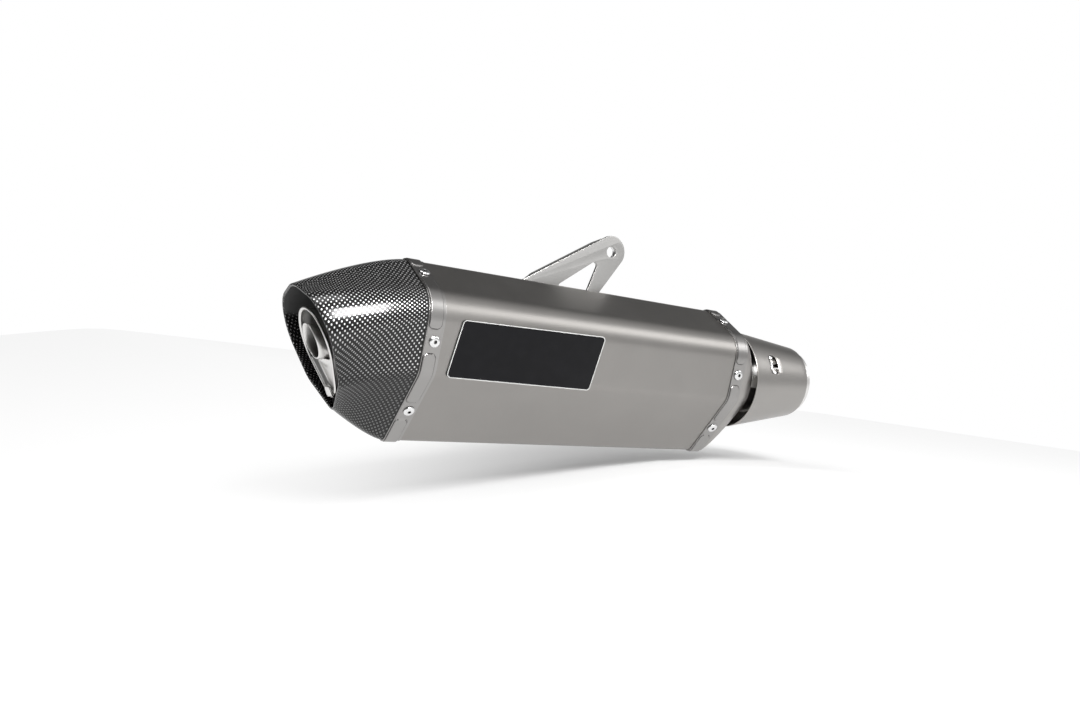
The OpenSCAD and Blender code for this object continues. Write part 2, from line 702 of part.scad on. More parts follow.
module bracket_rivet_places() {
    for (x = [-bracket_foot_l / 2 + 8, -10, 12, bracket_foot_l / 2 - 8])
        on_bracket_face(bracket_y) translate([x, bracket_foot_w * 0.62, 0]) children();
}

module bracket_outline() {
    half = bracket_foot_l / 2 - foot_step;
    translate(bracket_hole) circle(r = bracket_tip_r);
    polygon([[bracket_mid_x - half, bracket_base_z], [bracket_mid_x + half, bracket_base_z],
        bracket_hole + bracket_tip_r * [cos(front_edge_a), -sin(front_edge_a)], bracket_hole,
        bracket_edge_end, bracket_edge_start]);
}

module bracket_window() {
    corner_r = 2.5;
    floor_z = bracket_base_z + 9;
    hull() for (q = [[bracket_hole_x - 14, bracket_hole_z - bracket_tip_r + 1],
                     [bracket_mid_x + 26, floor_z], [bracket_mid_x + 5, floor_z]])
        translate(q) circle(r = corner_r);
}

module mount_bracket() {
    edge = bracket_edge_end - bracket_edge_start;
    color([0.78, 0.77, 0.75]) place() difference() {
        union() {
            translate([0, bracket_y + bracket_t, 0]) rotate([90, 0, 0])
                linear_extrude(bracket_t) difference() {
                bracket_outline();
                bracket_window();
            }
            translate([bracket_edge_start[0], bracket_y + bracket_t / 3, bracket_edge_start[1]])
                rotate([0, -atan2(edge[1], edge[0]), 0]) translate([norm(edge) * 0.12, 0, -bracket_t * 0.8])
                cube([norm(edge) * 0.84, bracket_lip_w, bracket_t]);
            on_bracket_face(bracket_y) translate([-bracket_foot_l / 2, -1, -foot_in])
                cube([bracket_foot_l, bracket_foot_w + 1, bracket_t]);
        }
        translate([bracket_hole_x, bracket_y - over, bracket_hole_z]) rotate([-90, 0, 0])
            cylinder(d = bracket_hole_d, h = bracket_t + 2 * over);
        bracket_rivet_places() translate([0, 0, -8]) cylinder(d = rivet_d + 2 * fit, h = 16);
    }
}

module bracket_boss() {
    color([0.84, 0.84, 0.85]) place()
        translate([bracket_hole_x, bracket_y + bracket_t + fit, bracket_hole_z])
        rotate([-90, 0, 0]) difference() {
        cylinder(d = bracket_hole_d + 5.5, h = boss_h);
        translate([0, 0, -over]) cylinder(d = bracket_hole_d, h = boss_h + 2 * over);
    }
}

module bracket_rivets() {
    place() color([0.85, 0.85, 0.86]) bracket_rivet_places() translate([0, 0, bracket_t - foot_in + fit])
        rivet(bracket_t + sleeve_t + 0.4);
}

carbon_end_cap();
rear_strap();
rear_rivets();
outer_sleeve();
front_strap();
front_rivets();
front_cap();
inlet_pipe();
inlet_shield();
shield_stays();
clamp_band();
clamp_bolt();
clamp_nut();
perforated_core();
wool_packing();
front_inner_plate();
rear_inner_plate();
outlet_pipe();
noise_insert();
insert_screw();
screw_boss();
mount_bracket();
bracket_boss();
bracket_rivets();
badge_plate();
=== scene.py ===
"""Racing slip-on silencer: the pieces that are seen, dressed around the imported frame.

Sizes are millimetres in the sleeve's own place (x = 0 at the rear strap's rear edge, z = 0 at the
middle of the section there, tail at -x, outer side at -y) and Datum turns them into the frame.
"""

import logging
import math
from dataclasses import dataclass, field
from enum import Enum
from typing import Sequence, Union

import bmesh
import bpy
from mathutils import Matrix, Vector


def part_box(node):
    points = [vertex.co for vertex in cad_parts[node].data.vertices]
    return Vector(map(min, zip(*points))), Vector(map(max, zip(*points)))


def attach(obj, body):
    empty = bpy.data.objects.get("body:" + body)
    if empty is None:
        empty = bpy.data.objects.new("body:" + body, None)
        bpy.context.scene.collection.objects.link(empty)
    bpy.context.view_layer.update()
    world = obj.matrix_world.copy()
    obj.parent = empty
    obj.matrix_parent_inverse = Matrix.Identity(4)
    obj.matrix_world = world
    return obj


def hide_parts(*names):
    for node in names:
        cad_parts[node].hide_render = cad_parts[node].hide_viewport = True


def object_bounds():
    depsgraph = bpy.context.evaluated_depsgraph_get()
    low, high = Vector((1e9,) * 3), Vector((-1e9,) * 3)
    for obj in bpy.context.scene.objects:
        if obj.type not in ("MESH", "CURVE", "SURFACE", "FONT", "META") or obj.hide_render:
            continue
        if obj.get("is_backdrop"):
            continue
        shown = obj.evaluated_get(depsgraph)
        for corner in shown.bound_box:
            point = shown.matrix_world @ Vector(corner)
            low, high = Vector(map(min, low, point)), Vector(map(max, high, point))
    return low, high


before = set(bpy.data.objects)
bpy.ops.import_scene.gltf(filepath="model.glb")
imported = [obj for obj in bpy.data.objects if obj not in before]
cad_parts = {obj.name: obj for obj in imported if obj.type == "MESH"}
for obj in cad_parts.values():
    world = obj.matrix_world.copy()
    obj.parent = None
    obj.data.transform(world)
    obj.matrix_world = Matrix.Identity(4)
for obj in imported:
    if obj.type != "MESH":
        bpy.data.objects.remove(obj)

LOG = logging.getLogger("silencer")
CAD_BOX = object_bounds()
MM = 0.001
Colour = tuple[float, float, float]
Ring = list[Vector]


# ---------------------------------------------------------------- shader bench


class Signal:
    """The value of a socket, ready for arithmetic."""

    def __init__(self, bench: "Bench", socket: bpy.types.NodeSocket) -> None:
        """Keeps the socket.

        Args:
            bench: The bench that the socket's node stands on.
            socket: The output socket.
        """
        self.bench = bench
        self.socket = socket

    def _sum(self, operation: str, first: "Input", second: "Input" = 0.0) -> "Signal":
        """Adds a Math node."""
        return self.bench.node("ShaderNodeMath", {"operation": operation}, {0: first, 1: second})

    def __add__(self, other: "Input") -> "Signal":
        """Sum."""
        return self._sum("ADD", self, other)

    def __radd__(self, other: "Input") -> "Signal":
        """Sum, other way round."""
        return self._sum("ADD", other, self)

    def __sub__(self, other: "Input") -> "Signal":
        """Difference."""
        return self._sum("SUBTRACT", self, other)

    def __rsub__(self, other: "Input") -> "Signal":
        """Difference, other way round."""
        return self._sum("SUBTRACT", other, self)

    def __mul__(self, other: "Input") -> "Signal":
        """Product."""
        return self._sum("MULTIPLY", self, other)

    def __rmul__(self, other: "Input") -> "Signal":
        """Product, other way round."""
        return self._sum("MULTIPLY", other, self)

    def __truediv__(self, other: "Input") -> "Signal":
        """Quotient."""
        return self._sum("DIVIDE", self, other)

    def __pow__(self, other: "Input") -> "Signal":
        """Power."""
        return self._sum("POWER", self, other)

    def floor(self) -> "Signal":
        """Whole number below."""
        return self._sum("FLOOR", self)

    def fraction(self) -> "Signal":
        """Part above the whole number."""
        return self._sum("FRACT", self)

    def sine(self) -> "Signal":
        """Sine of the value in radians."""
        return self._sum("SINE", self)

    def remainder(self, other: "Input") -> "Signal":
        """Remainder, never below zero."""
        return self._sum("FLOORED_MODULO", self, other)

    def step(self, low: float, high: float) -> "Signal":
        """Smooth step from 0 at low to 1 at high; low may be the larger.

        Args:
            low: Where the step starts.
            high: Where it ends.

        Returns:
            The stepped signal.
        """
        if low > high:
            return 1 - self.step(high, low)
        inputs = {"Value": self, "From Min": low, "From Max": high}
        return self.bench.node("ShaderNodeMapRange", {"interpolation_type": "SMOOTHSTEP"}, inputs)

    def between(self, first: "Input", second: "Input") -> "Signal":
        """Mixes two colours by this factor.

        Args:
            first: Colour at 0.
            second: Colour at 1.

        Returns:
            The mixed colour.
        """
        inputs = {0: self, 6: first, 7: second}
        return self.bench.node("ShaderNodeMix", {"data_type": "RGBA"}, inputs, 2)


Input = Union[float, Colour, Signal]


class Bench:
    """A material's node tree and the ways to add to it."""

    def __init__(self, name: str) -> None:
        """Starts a material with one principled shader.

        Args:
            name: Name of the material.
        """
        self.material = bpy.data.materials.new(name)
        self.material.use_nodes = True
        self.tree = self.material.node_tree
        self.tree.nodes.clear()
        output = self.tree.nodes.new("ShaderNodeOutputMaterial")
        self.shader = self.tree.nodes.new("ShaderNodeBsdfPrincipled")
        self.tree.links.new(self.shader.outputs[0], output.inputs["Surface"])

    def _feed(self, socket: bpy.types.NodeSocket, value: Input) -> None:
        """Sets or links one input."""
        if isinstance(value, Signal):
            self.tree.links.new(value.socket, socket)
        elif socket.type == "RGBA" and not isinstance(value, float):
            socket.default_value = (*value, 1.0)
        else:
            socket.default_value = value

    def node(
        self, kind: str, settings: dict[str, object], inputs: dict[object, Input], output: object = 0
    ) -> Signal:
        """Adds one node.

        Args:
            kind: Type of the node.
            settings: Its properties, set before its inputs.
            inputs: Values or links by socket name or number.
            output: Name or number of the output wanted.

        Returns:
            That output's signal.
        """
        made = self.tree.nodes.new(kind)
        for key, value in settings.items():
            setattr(made, key, value)
        for key, value in inputs.items():
            self._feed(made.inputs[key], value)
        return Signal(self, made.outputs[output])

    def place(self, stretch: Colour = (1.0, 1.0, 1.0)) -> Signal:
        """Object position in millimetres, stretched along its axes.

        Args:
            stretch: Factor along x, y and z.

        Returns:
            The position.
        """
        where = self.node("ShaderNodeTexCoord", {}, {}, "Object")
        scale = tuple(s / MM for s in stretch)
        return self.node("ShaderNodeVectorMath", {"operation": "MULTIPLY"}, {0: where, 1: scale})

    def part(self, vector: Signal, axis: int) -> Signal:
        """One component of a vector."""
        return self.node("ShaderNodeSeparateXYZ", {}, {0: vector}, axis)

    def mark(self, name: str) -> Signal:
        """A number stored on the mesh's points."""
        return self.node("ShaderNodeAttribute", {"attribute_name": name}, {}, "Fac")

    def noise(self, vector: Signal, size: float, detail: float = 2.0) -> Signal:
        """Noise with blotches about size millimetres across."""
        inputs = {"Vector": vector, "Scale": 1 / size, "Detail": detail}
        return self.node("ShaderNodeTexNoise", {}, inputs)

    def bump(self, height: Signal, depth: float, strength: float = 1.0) -> Signal:
        """Normal from a height of up to depth millimetres."""
        inputs = {"Height": height, "Distance": depth * MM, "Strength": strength}
        return self.node("ShaderNodeBump", {}, inputs)

    def finish(self, **inputs: Input) -> bpy.types.Material:
        """Feeds the shader and hands the material over.

        Args:
            **inputs: Shader sockets by name, with _ for spaces.

        Returns:
            The finished material.
        """
        for key, value in inputs.items():
            self._feed(self.shader.inputs[key.replace("_", " ")], value)
        return self.material


# ---------------------------------------------------------------- finishes


class Grain(Enum):
    """Which way the fine lines of a metal run."""

    ALONG = (0.06, 1.0, 1.0)
    ROUND = (1.0, 0.12, 0.12)
    NONE = (1.0, 1.0, 1.0)


@dataclass(frozen=True)
class SatinMetal:
    """Sheet metal with fine grain, faint clouding and a painted-shade mark that darkens grooves, hollows and deep
    insides nearly to black.
    """

    name: str
    colour: Colour
    roughness: float = 0.32
    grain: Grain = Grain.NONE
    grain_size: float = 0.5
    grain_depth: float = 0.004
    cloud: float = 0.06

    def material(self) -> bpy.types.Material:
        """Builds the material."""
        bench = Bench(self.name)
        lines = bench.noise(bench.place(self.grain.value), self.grain_size, 3.0)
        clouds = bench.noise(bench.place(), 38.0, 3.0)
        shade = 1 - self.cloud + clouds * (2 * self.cloud) + (lines - 0.5) * 0.05
        # Painted shade: where the mark is set, the colour falls to 4% of the metal's and the roughness rises,
        # standing in for the shade in grooves, hollows and deep insides.
        painted_shade = bench.mark("painted_shade")
        dark = tuple(c * 0.04 for c in self.colour)
        tone = bench.node(
            "ShaderNodeVectorMath", {"operation": "SCALE"}, {0: self.colour, "Scale": shade}
        )
        return bench.finish(
            Base_Color=painted_shade.step(0.0, 1.0).between(tone, dark),
            Metallic=1.0,
            Roughness=self.roughness - 0.05 + lines * 0.07 + clouds * 0.05 + painted_shade * 0.3,
            Normal=bench.bump(lines, self.grain_depth),
        )


@dataclass(frozen=True)
class CarbonWeave:
    """Clear-coated plain weave of flat tows, with painted light: the crowns of the tows of one direction are painted
    as bright metal for their glint and the other tows near black, and the bright tows are darkened with painted shade
    on facets that face down.
    """

    name: str
    tow: float = 1.7

    def material(self) -> bpy.types.Material:
        """Builds the material."""
        bench = Bench(self.name)
        cloth = bench.node("ShaderNodeUVMap", {"uv_map": "weave"}, {})
        across, along = bench.part(cloth, 0) / self.tow, bench.part(cloth, 1) / self.tow
        upper = (across.floor() + along.floor()).remainder(2.0)
        crown_across = (across.fraction() * math.pi).sine()
        crown_along = (along.fraction() * math.pi).sine()
        pillow = crown_across * crown_along
        threads = bench.noise(bench.place(), 1.1, 2.0)
        patches = bench.noise(bench.place(), 26.0, 1.0)
        plain = bench.mark("plain")
        # Painted highlight: the crowns of the upper tows are made bright metal and the under tows stay near black,
        # lit and shaded copies of the same fibre standing in for the glint of one tow direction; the under tows'
        # crowns get a faint painted sheen too.
        lit = upper * pillow.step(0.40, 0.86) * (1 - plain)
        glint = lit * (0.55 + threads * 0.5) * (0.35 + patches * 1.3)
        under_crown_sheen = (1 - upper) * pillow.step(0.1, 0.9)
        low = (under_crown_sheen * 0.6).between((0.006, 0.006, 0.007), (0.014, 0.014, 0.015))
        # Painted shade: the bright tows are dimmed on facets that face down, from the surface's direction in the
        # world, whatever the lamps do.
        painted_shade_slope = bench.part(bench.node("ShaderNodeNewGeometry", {}, {}, "Normal"), 2)
        painted_sheen_and_shade = (0.45 + glint.step(0.0, 0.9) * 0.55) * (0.10 + painted_shade_slope.step(-0.60, 0.10) * 0.90)
        woven = lit.between(low, (0.96, 0.96, 0.95)) * (1 - lit * (1 - painted_sheen_and_shade))
        return bench.finish(
            Base_Color=plain.between(woven, (0.10, 0.10, 0.10)),
            Metallic=lit,
            Roughness=0.46 - lit * 0.12,
            Coat_Weight=1.0,
            Coat_Roughness=0.12,
            Coat_IOR=1.38,
            Specular_IOR_Level=0.04,
            Normal=bench.bump(pillow * (1 - plain), 0.03, 0.5),
        )


@dataclass(frozen=True)
class BlackOxide:
    """Dark plated steel, a little worn."""

    name: str

    def material(self) -> bpy.types.Material:
        """Builds the material."""
        bench = Bench(self.name)
        wear = bench.noise(bench.place(), 1.6, 4.0).step(0.5, 0.75)
        return bench.finish(
            Base_Color=wear.between((0.05, 0.05, 0.055), (0.22, 0.21, 0.20)),
            Metallic=1.0,
            Roughness=0.42 - wear * 0.12,
            Normal=bench.bump(wear, 0.01),
        )


@dataclass(frozen=True)
class PackedWool:
    """Matted fibres."""

    name: str

    def material(self) -> bpy.types.Material:
        """Builds the material."""
        bench = Bench(self.name)
        fibres = bench.noise(bench.place((0.25, 1.0, 1.0)), 0.9, 6.0)
        tufts = bench.noise(bench.place(), 9.0, 3.0)
        return bench.finish(
            Base_Color=tufts.step(0.3, 0.7).between((0.42, 0.34, 0.17), (0.72, 0.64, 0.42)),
            Roughness=0.95,
            Normal=bench.bump(fibres + tufts, 0.8),
        )


@dataclass(frozen=True)
class Enamel:
    """Heat-proof paint of one colour with a little orange peel."""

    name: str
    colour: Colour
    shine: float = 0.4

    def material(self) -> bpy.types.Material:
        """Builds the material."""
        bench = Bench(self.name)
        peel = bench.noise(bench.place(), 0.8, 2.0)
        dust = bench.noise(bench.place(), 7.0, 3.0)
        deeper = tuple(c * 0.82 for c in self.colour)
        return bench.finish(
            Base_Color=dust.step(0.3, 0.8).between(deeper, self.colour),
            Roughness=0.30 + dust * 0.12,
            Specular_IOR_Level=self.shine,
            Normal=bench.bump(peel, 0.01),
        )


# ---------------------------------------------------------------- geometry


@dataclass(frozen=True)
class Datum:
    """Where the sleeve's millimetres lie in the frame."""

    mouth_x: float
    mouth_z: float = 15.7591
    pitch: float = math.radians(3.5)

    def at(self, x: float, y: float, z: float) -> Vector:
        """Frame position of a sleeve position."""
        return Vector((x - self.mouth_x, y, z - self.mouth_z)) * MM

    def along(self, x: float, y: float, z: float) -> Vector:
        """Frame position of a place along the gas path, whose mouth is at x = 0."""
        c, s = math.cos(self.pitch), math.sin(self.pitch)
        return Vector((x * c - z * s, y, x * s + z * c)) * MM

    def path_z(self, x: float) -> float:
        """Height of the gas path at a sleeve x."""
        return self.mouth_z + (x - self.mouth_x) * math.tan(self.pitch)


@dataclass(frozen=True)
class Trace:
    """One point of an outline: place, outward direction and distance run, in millimetres."""

    at: Vector
    out: Vector
    run: float

    def inset(self, depth: float) -> Vector:
        """The point moved inwards."""
        return self.at - self.out * depth


@dataclass(frozen=True)
class Section:
    """Rounded six-sided section, symmetric about y = 0."""

    top: float
    upper_w: float
    upper_z: float
    lower_w: float
    lower_z: float
    bottom: float
    top_r: float
    upper_r: float
    lower_r: float
    bottom_r: float

    def values(self) -> list[float]:
        """All ten numbers in order."""
        names = "top upper_w upper_z lower_w lower_z bottom top_r upper_r lower_r bottom_r"
        return [getattr(self, name) for name in names.split()]

    def mixed(self, other: "Section", shares: Sequence[float]) -> "Section":
        """A section between this one and another.

        Args:
            other: The section at share 1.
            shares: One share for each number.

        Returns:
            The section between.
        """
        pairs = zip(self.values(), other.values(), shares)
        return Section(*[a * (1 - t) + b * t for a, b, t in pairs])

    def corners(self) -> list[Vector]:
        """Sharp corners from the top, over +y."""
        side = [(self.upper_w, self.upper_z), (self.lower_w, self.lower_z)]
        far = [(-y, z) for y, z in reversed(side)]
        return [Vector(p) for p in [(0, self.top), *side, (0, self.bottom), *far]]

    def radii(self) -> list[float]:
        """Radius of each corner."""
        side = [self.upper_r, self.lower_r]
        return [self.top_r, *side, self.bottom_r, *reversed(side)]

    def face(self, index: int, share: float) -> tuple[Vector, Vector]:
        """Place and outward direction on a flat face.

        Args:
            index: Face from corner index to the next.
            share: Place along it from 0 to 1, between the sharp corners.

        Returns:
            The place and the outward direction.
        """
        ends = self.corners()
        a, b = ends[index], ends[(index + 1) % 6]
        run = (b - a).normalized()
        return a.lerp(b, share), Vector((-run.y, run.x))

    def traced(self, arc_steps: int = 12, flat_steps: int = 10) -> list[Trace]:
        """Points round the outline from the top, the same number for every section.

        Args:
            arc_steps: Steps along each rounded corner.
            flat_steps: Steps along each flat face.

        Returns:
            The points in order, clockwise seen from the front.
        """
        corners, radii = self.corners(), self.radii()
        arcs: list[list[tuple[Vector, Vector]]] = []
        for i in range(6):
            at, r = corners[i], radii[i]
            back = (corners[i - 1] - at).normalized()
            on = (corners[(i + 1) % 6] - at).normalized()
            half = math.acos(max(-1.0, min(1.0, back.dot(on)))) / 2
            centre = at + (back + on).normalized() * (r / math.sin(half))
            first, turn = math.atan2(-back.x, back.y), 0.0
            turn = (math.atan2(on.x, -on.y) - first + math.pi) % (2 * math.pi) - math.pi
            arc = []
            for k in range(arc_steps + 1):
                a = first + turn * k / arc_steps
                out = Vector((math.cos(a), math.sin(a)))
                arc.append((centre + out * r, out))
            arcs.append(arc)
        points: list[tuple[Vector, Vector]] = []
        for i in range(6):
            points += arcs[i]
            start, end = arcs[i][-1], arcs[(i + 1) % 6][0]
            for k in range(1, flat_steps):
                points.append((start[0].lerp(end[0], k / flat_steps), start[1]))
        run, traces, last = 0.0, [], points[0][0]
        for at, out in points:
            run += (at - last).length
            traces.append(Trace(at, out, run))
            last = at
        return traces


@dataclass
class Skin:
    """A surface through rings of points, all with the same count."""

    name: str
    rings: list[Ring]
    wraps: bool = False
    uv: list[list[tuple[float, float]]] | None = None
    marks: dict[str, list[list[float]]] = field(default_factory=dict)
    sharp: float = 40.0

    def build(self) -> bpy.types.Object:
        """Makes the object.

        Returns:
            The new object, linked to the scene.
        """
        count, rows = len(self.rings[0]), len(self.rings)
        points = [p for ring in self.rings for p in ring]
        faces, corners = [], []
        for j in range(rows if self.wraps else rows - 1):
            for k in range(count):
                spots = [(j, k), (j + 1, k), (j + 1, k + 1), (j, k + 1)]
                faces.append([(a % rows) * count + b % count for a, b in spots])
                corners += spots
        mesh = bpy.data.meshes.new(self.name)
        mesh.from_pydata(points, [], faces)
        if self.uv is not None:
            layer = mesh.uv_layers.new(name="weave")
            flat = [c for j, k in corners for c in self.uv[j][k]]
            layer.data.foreach_set("uv", flat)
        for name, grid in self.marks.items():
            layer = mesh.attributes.new(name, "FLOAT", "POINT")
            layer.data.foreach_set("value", [v for row in grid for v in row])
        return shown(self.name, mesh, self.sharp)


def shown(name: str, mesh: bpy.types.Mesh, sharp: float = 40.0) -> bpy.types.Object:
    """Links a mesh as a smooth object with outward faces.

    Args:
        name: Name of the object.
        mesh: Its mesh.
        sharp: Edges that turn more than these degrees stay sharp.

    Returns:
        The object.
    """
    made = bmesh.new()
    made.from_mesh(mesh)
    bmesh.ops.recalc_face_normals(made, faces=made.faces)
    made.to_mesh(mesh)
    made.free()
    mesh.shade_smooth()
    mesh.set_sharp_from_angle(angle=math.radians(sharp))
    piece = bpy.data.objects.new(name, mesh)
    bpy.context.scene.collection.objects.link(piece)
    return piece


def joined(name: str, pieces: Sequence[bpy.types.Object]) -> bpy.types.Object:
    """Joins objects into one.

    Args:
        name: Name of the result.
        pieces: The objects, which go away.

    Returns:
        The joined object.
    """
    first, rest = pieces[0], list(pieces[1:])
    with bpy.context.temp_override(active_object=first, selected_editable_objects=list(pieces)):
        if rest:
            bpy.ops.object.join()
    first.name = name
    first.data.name = name
    return first


def settled(piece: bpy.types.Object) -> bpy.types.Object:
    """Applies a piece's modifiers to its mesh."""
    graph = bpy.context.evaluated_depsgraph_get()
    mesh = bpy.data.meshes.new_from_object(piece.evaluated_get(graph))
    piece.modifiers.clear()
    piece.data = mesh
    return piece


def cut(piece: bpy.types.Object, tool: bpy.types.Object) -> bpy.types.Object:
    """Takes a tool's space out of a piece; the tool goes away."""
    hole = piece.modifiers.new("cut", "BOOLEAN")
    hole.operation, hole.solver, hole.object = "DIFFERENCE", "EXACT", tool
    settled(piece)
    bpy.data.objects.remove(tool)
    return piece


def dress(
    piece: bpy.types.Object, finish: bpy.types.Material, slot: str, body: str, *nodes: str
) -> bpy.types.Object:
    """Gives a piece its finish and its body, and hides the nodes that it stands for.

    Args:
        piece: The finished piece, in place.
        finish: Its material.
        slot: The record's material slot; not used.
        body: The body that it rides on.
        *nodes: CAD nodes that it stands for.

    Returns:
        The piece.
    """
    piece.data.materials.clear()
    piece.data.materials.append(finish)
    if nodes:
        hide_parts(*nodes)
    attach(piece, body)
    return piece


def lathe(
    name: str, profile: Sequence[tuple[float, float]], spot: Matrix, steps: int = 48, dark: Sequence[int] = ()
) -> Skin:
    """A turned piece.

    Args:
        name: Name of the piece.
        profile: Radius and height pairs in millimetres, from one end to the other, closed on itself.
        spot: Where the axis stands, in metres.
        steps: Steps round it.
        dark: Numbers of the profile's points that are darkened with painted shade.

    Returns:
        The skin.
    """
    rings = []
    # Painted shade on the listed profile points.
    shades = [[1.0 if i in dark else 0.0] * steps for i in range(len(profile))]
    for radius, height in profile:
        turns = [2 * math.pi * k / steps for k in range(steps)]
        rings.append(
            [spot @ (Vector((radius * math.cos(a), radius * math.sin(a), height)) * MM) for a in turns]
        )
    return Skin(name, rings, wraps=True, marks={"painted_shade": shades}, sharp=50.0)


def frame_of(origin: Vector, out: Vector, ahead: Vector) -> Matrix:
    """Placing matrix.

    Args:
        origin: Where its zero stands, in metres.
        out: Its +z direction.
        ahead: Roughly its +x direction.

    Returns:
        The matrix.
    """
    z = out.normalized()
    y = z.cross(ahead).normalized()
    x = y.cross(z)
    turned = Matrix((x, y, z)).transposed().to_4x4()
    return Matrix.Translation(origin) @ turned


def rounded(corners: Sequence[tuple[float, float]], radii: Sequence[float], steps: int = 8) -> list[Vector]:
    """Polygon with rounded corners, counter-clockwise or clockwise alike.

    Args:
        corners: Sharp corners in millimetres.
        radii: Radius of each.
        steps: Steps along each arc.

    Returns:
        The points.
    """
    points = []
    for i, (corner, radius) in enumerate(zip(corners, radii)):
        at = Vector(corner)
        back = (Vector(corners[i - 1]) - at).normalized()
        on = (Vector(corners[(i + 1) % len(corners)]) - at).normalized()
        half = back.angle(on) / 2
        reach = radius / math.tan(half)
        centre = at + (back + on).normalized() * (radius / math.sin(half))
        start, end = at + back * reach - centre, at + on * reach - centre
        turn = start.angle_signed(end) if radius else 0.0
        for k in range(steps + 1):
            spun = Matrix.Rotation(-turn * k / steps, 2) @ start
            points.append(centre + spun)
    return points


def circle(centre: tuple[float, float], radius: float, steps: int = 40) -> list[Vector]:
    """Points round a circle."""
    turns = [2 * math.pi * k / steps for k in range(steps)]
    return [Vector(centre) + Vector((math.cos(a), math.sin(a))) * radius for a in turns]


def sheet_metal(
    name: str, loops: Sequence[Sequence[Vector]], thickness: float, spot: Matrix, edge: float = 0.3
) -> bpy.types.Object:
    """Flat sheet with softened edges.

    Args:
        name: Name of the object.
        loops: Outline, then holes, in millimetres.
        thickness: Its thickness in millimetres, rising from the spot's plane.
        spot: Where its plane lies.
        edge: Radius of the softened edges.

    Returns:
        The object.
    """
    curve = bpy.data.curves.new(name, "CURVE")
    curve.dimensions, curve.fill_mode = "2D", "BOTH"
    curve.extrude = (thickness / 2 - edge) * MM
    curve.bevel_depth, curve.bevel_resolution, curve.offset = edge * MM, 2, -edge * MM
    for loop in loops:
        spline = curve.splines.new("POLY")
        spline.points.add(len(loop) - 1)
        spline.use_cyclic_u = True
        for point, at in zip(spline.points, loop):
            point.co = (at.x * MM, at.y * MM, 0.0, 1.0)
    drawn = bpy.data.objects.new(name, curve)
    bpy.context.scene.collection.objects.link(drawn)
    graph = bpy.context.evaluated_depsgraph_get()
    mesh = bpy.data.meshes.new_from_object(drawn.evaluated_get(graph))
    bpy.data.objects.remove(drawn)
    mesh.transform(spot @ Matrix.Translation((0, 0, thickness / 2 * MM)))
    weld = bmesh.new()
    weld.from_mesh(mesh)
    bmesh.ops.remove_doubles(weld, verts=weld.verts, dist=0.005 * MM)
    weld.to_mesh(mesh)
    weld.free()
    return shown(name, mesh, 35.0)


@dataclass(frozen=True)
class SleeveForm:
    """The run of sections from strap to strap."""

    datum: Datum
    rear: Section = Section(66.5, 52.4, 38.6, 45.4, -12.6, -66.5, 12, 24, 14, 7)
    length: float = 266.0
    taper: float = 0.10
    rise: float = 6.1

    def section(self, x: float) -> Section:
        """The section at a place along the sleeve."""
        s, c = 1 - self.taper * x / self.length, self.rise * x / self.length
        heights = (0, 2, 4, 5)
        return Section(*[v * s + (c if i in heights else 0) for i, v in enumerate(self.rear.values())])

    def ring(self, x: float, inset: float, arc_steps: int = 12, flat_steps: int = 10) -> Ring:
        """Ring of frame points at x."""
        traces = self.section(x).traced(arc_steps, flat_steps)
        return [self.datum.at(x, *t.inset(inset)) for t in traces]

    def spot(self, x: float, index: int, share: float, side: int) -> Matrix:
        """Place on a face, +z out of it and +x towards the front.

        Args:
            x: Place along the sleeve.
            index: Face from corner index to the next.
            share: Place along the face.
            side: 1 for +y or -1 for -y.

        Returns:
            The placing matrix.
        """
        ends = []
        for step in (-10.0, 10.0):
            at, out = self.section(x + step).face(index, share)
            ends.append(self.datum.at(x + step, side * at.x, at.y))
        at, out = self.section(x).face(index, share)
        ahead = (ends[1] - ends[0]).normalized()
        painted_shade_slope = Vector((0, side * out.x, out.y))
        painted_shade_slope = painted_shade_slope - ahead * painted_shade_slope.dot(ahead)
        return frame_of(self.datum.at(x, side * at.x, at.y), painted_shade_slope, ahead)


SHEET_IN = 1.25
RIVET_SHARES = (0.36, 0.565, 0.495)


@dataclass
class OuterSleeve:
    """The six-sided titanium wrap."""

    form: SleeveForm
    from_x: float = 1.5
    to_x: float = 276.5
    sheet: float = 1.0

    def build(self) -> bpy.types.Object:
        """Makes the sleeve."""
        steps = 24
        places = [self.from_x + (self.to_x - self.from_x) * k / steps for k in range(steps + 1)]
        outer = [self.form.ring(x, SHEET_IN) for x in places]
        inner = [self.form.ring(x, SHEET_IN + self.sheet) for x in reversed(places)]
        return Skin("sleeve_wrap", outer + inner, wraps=True).build()


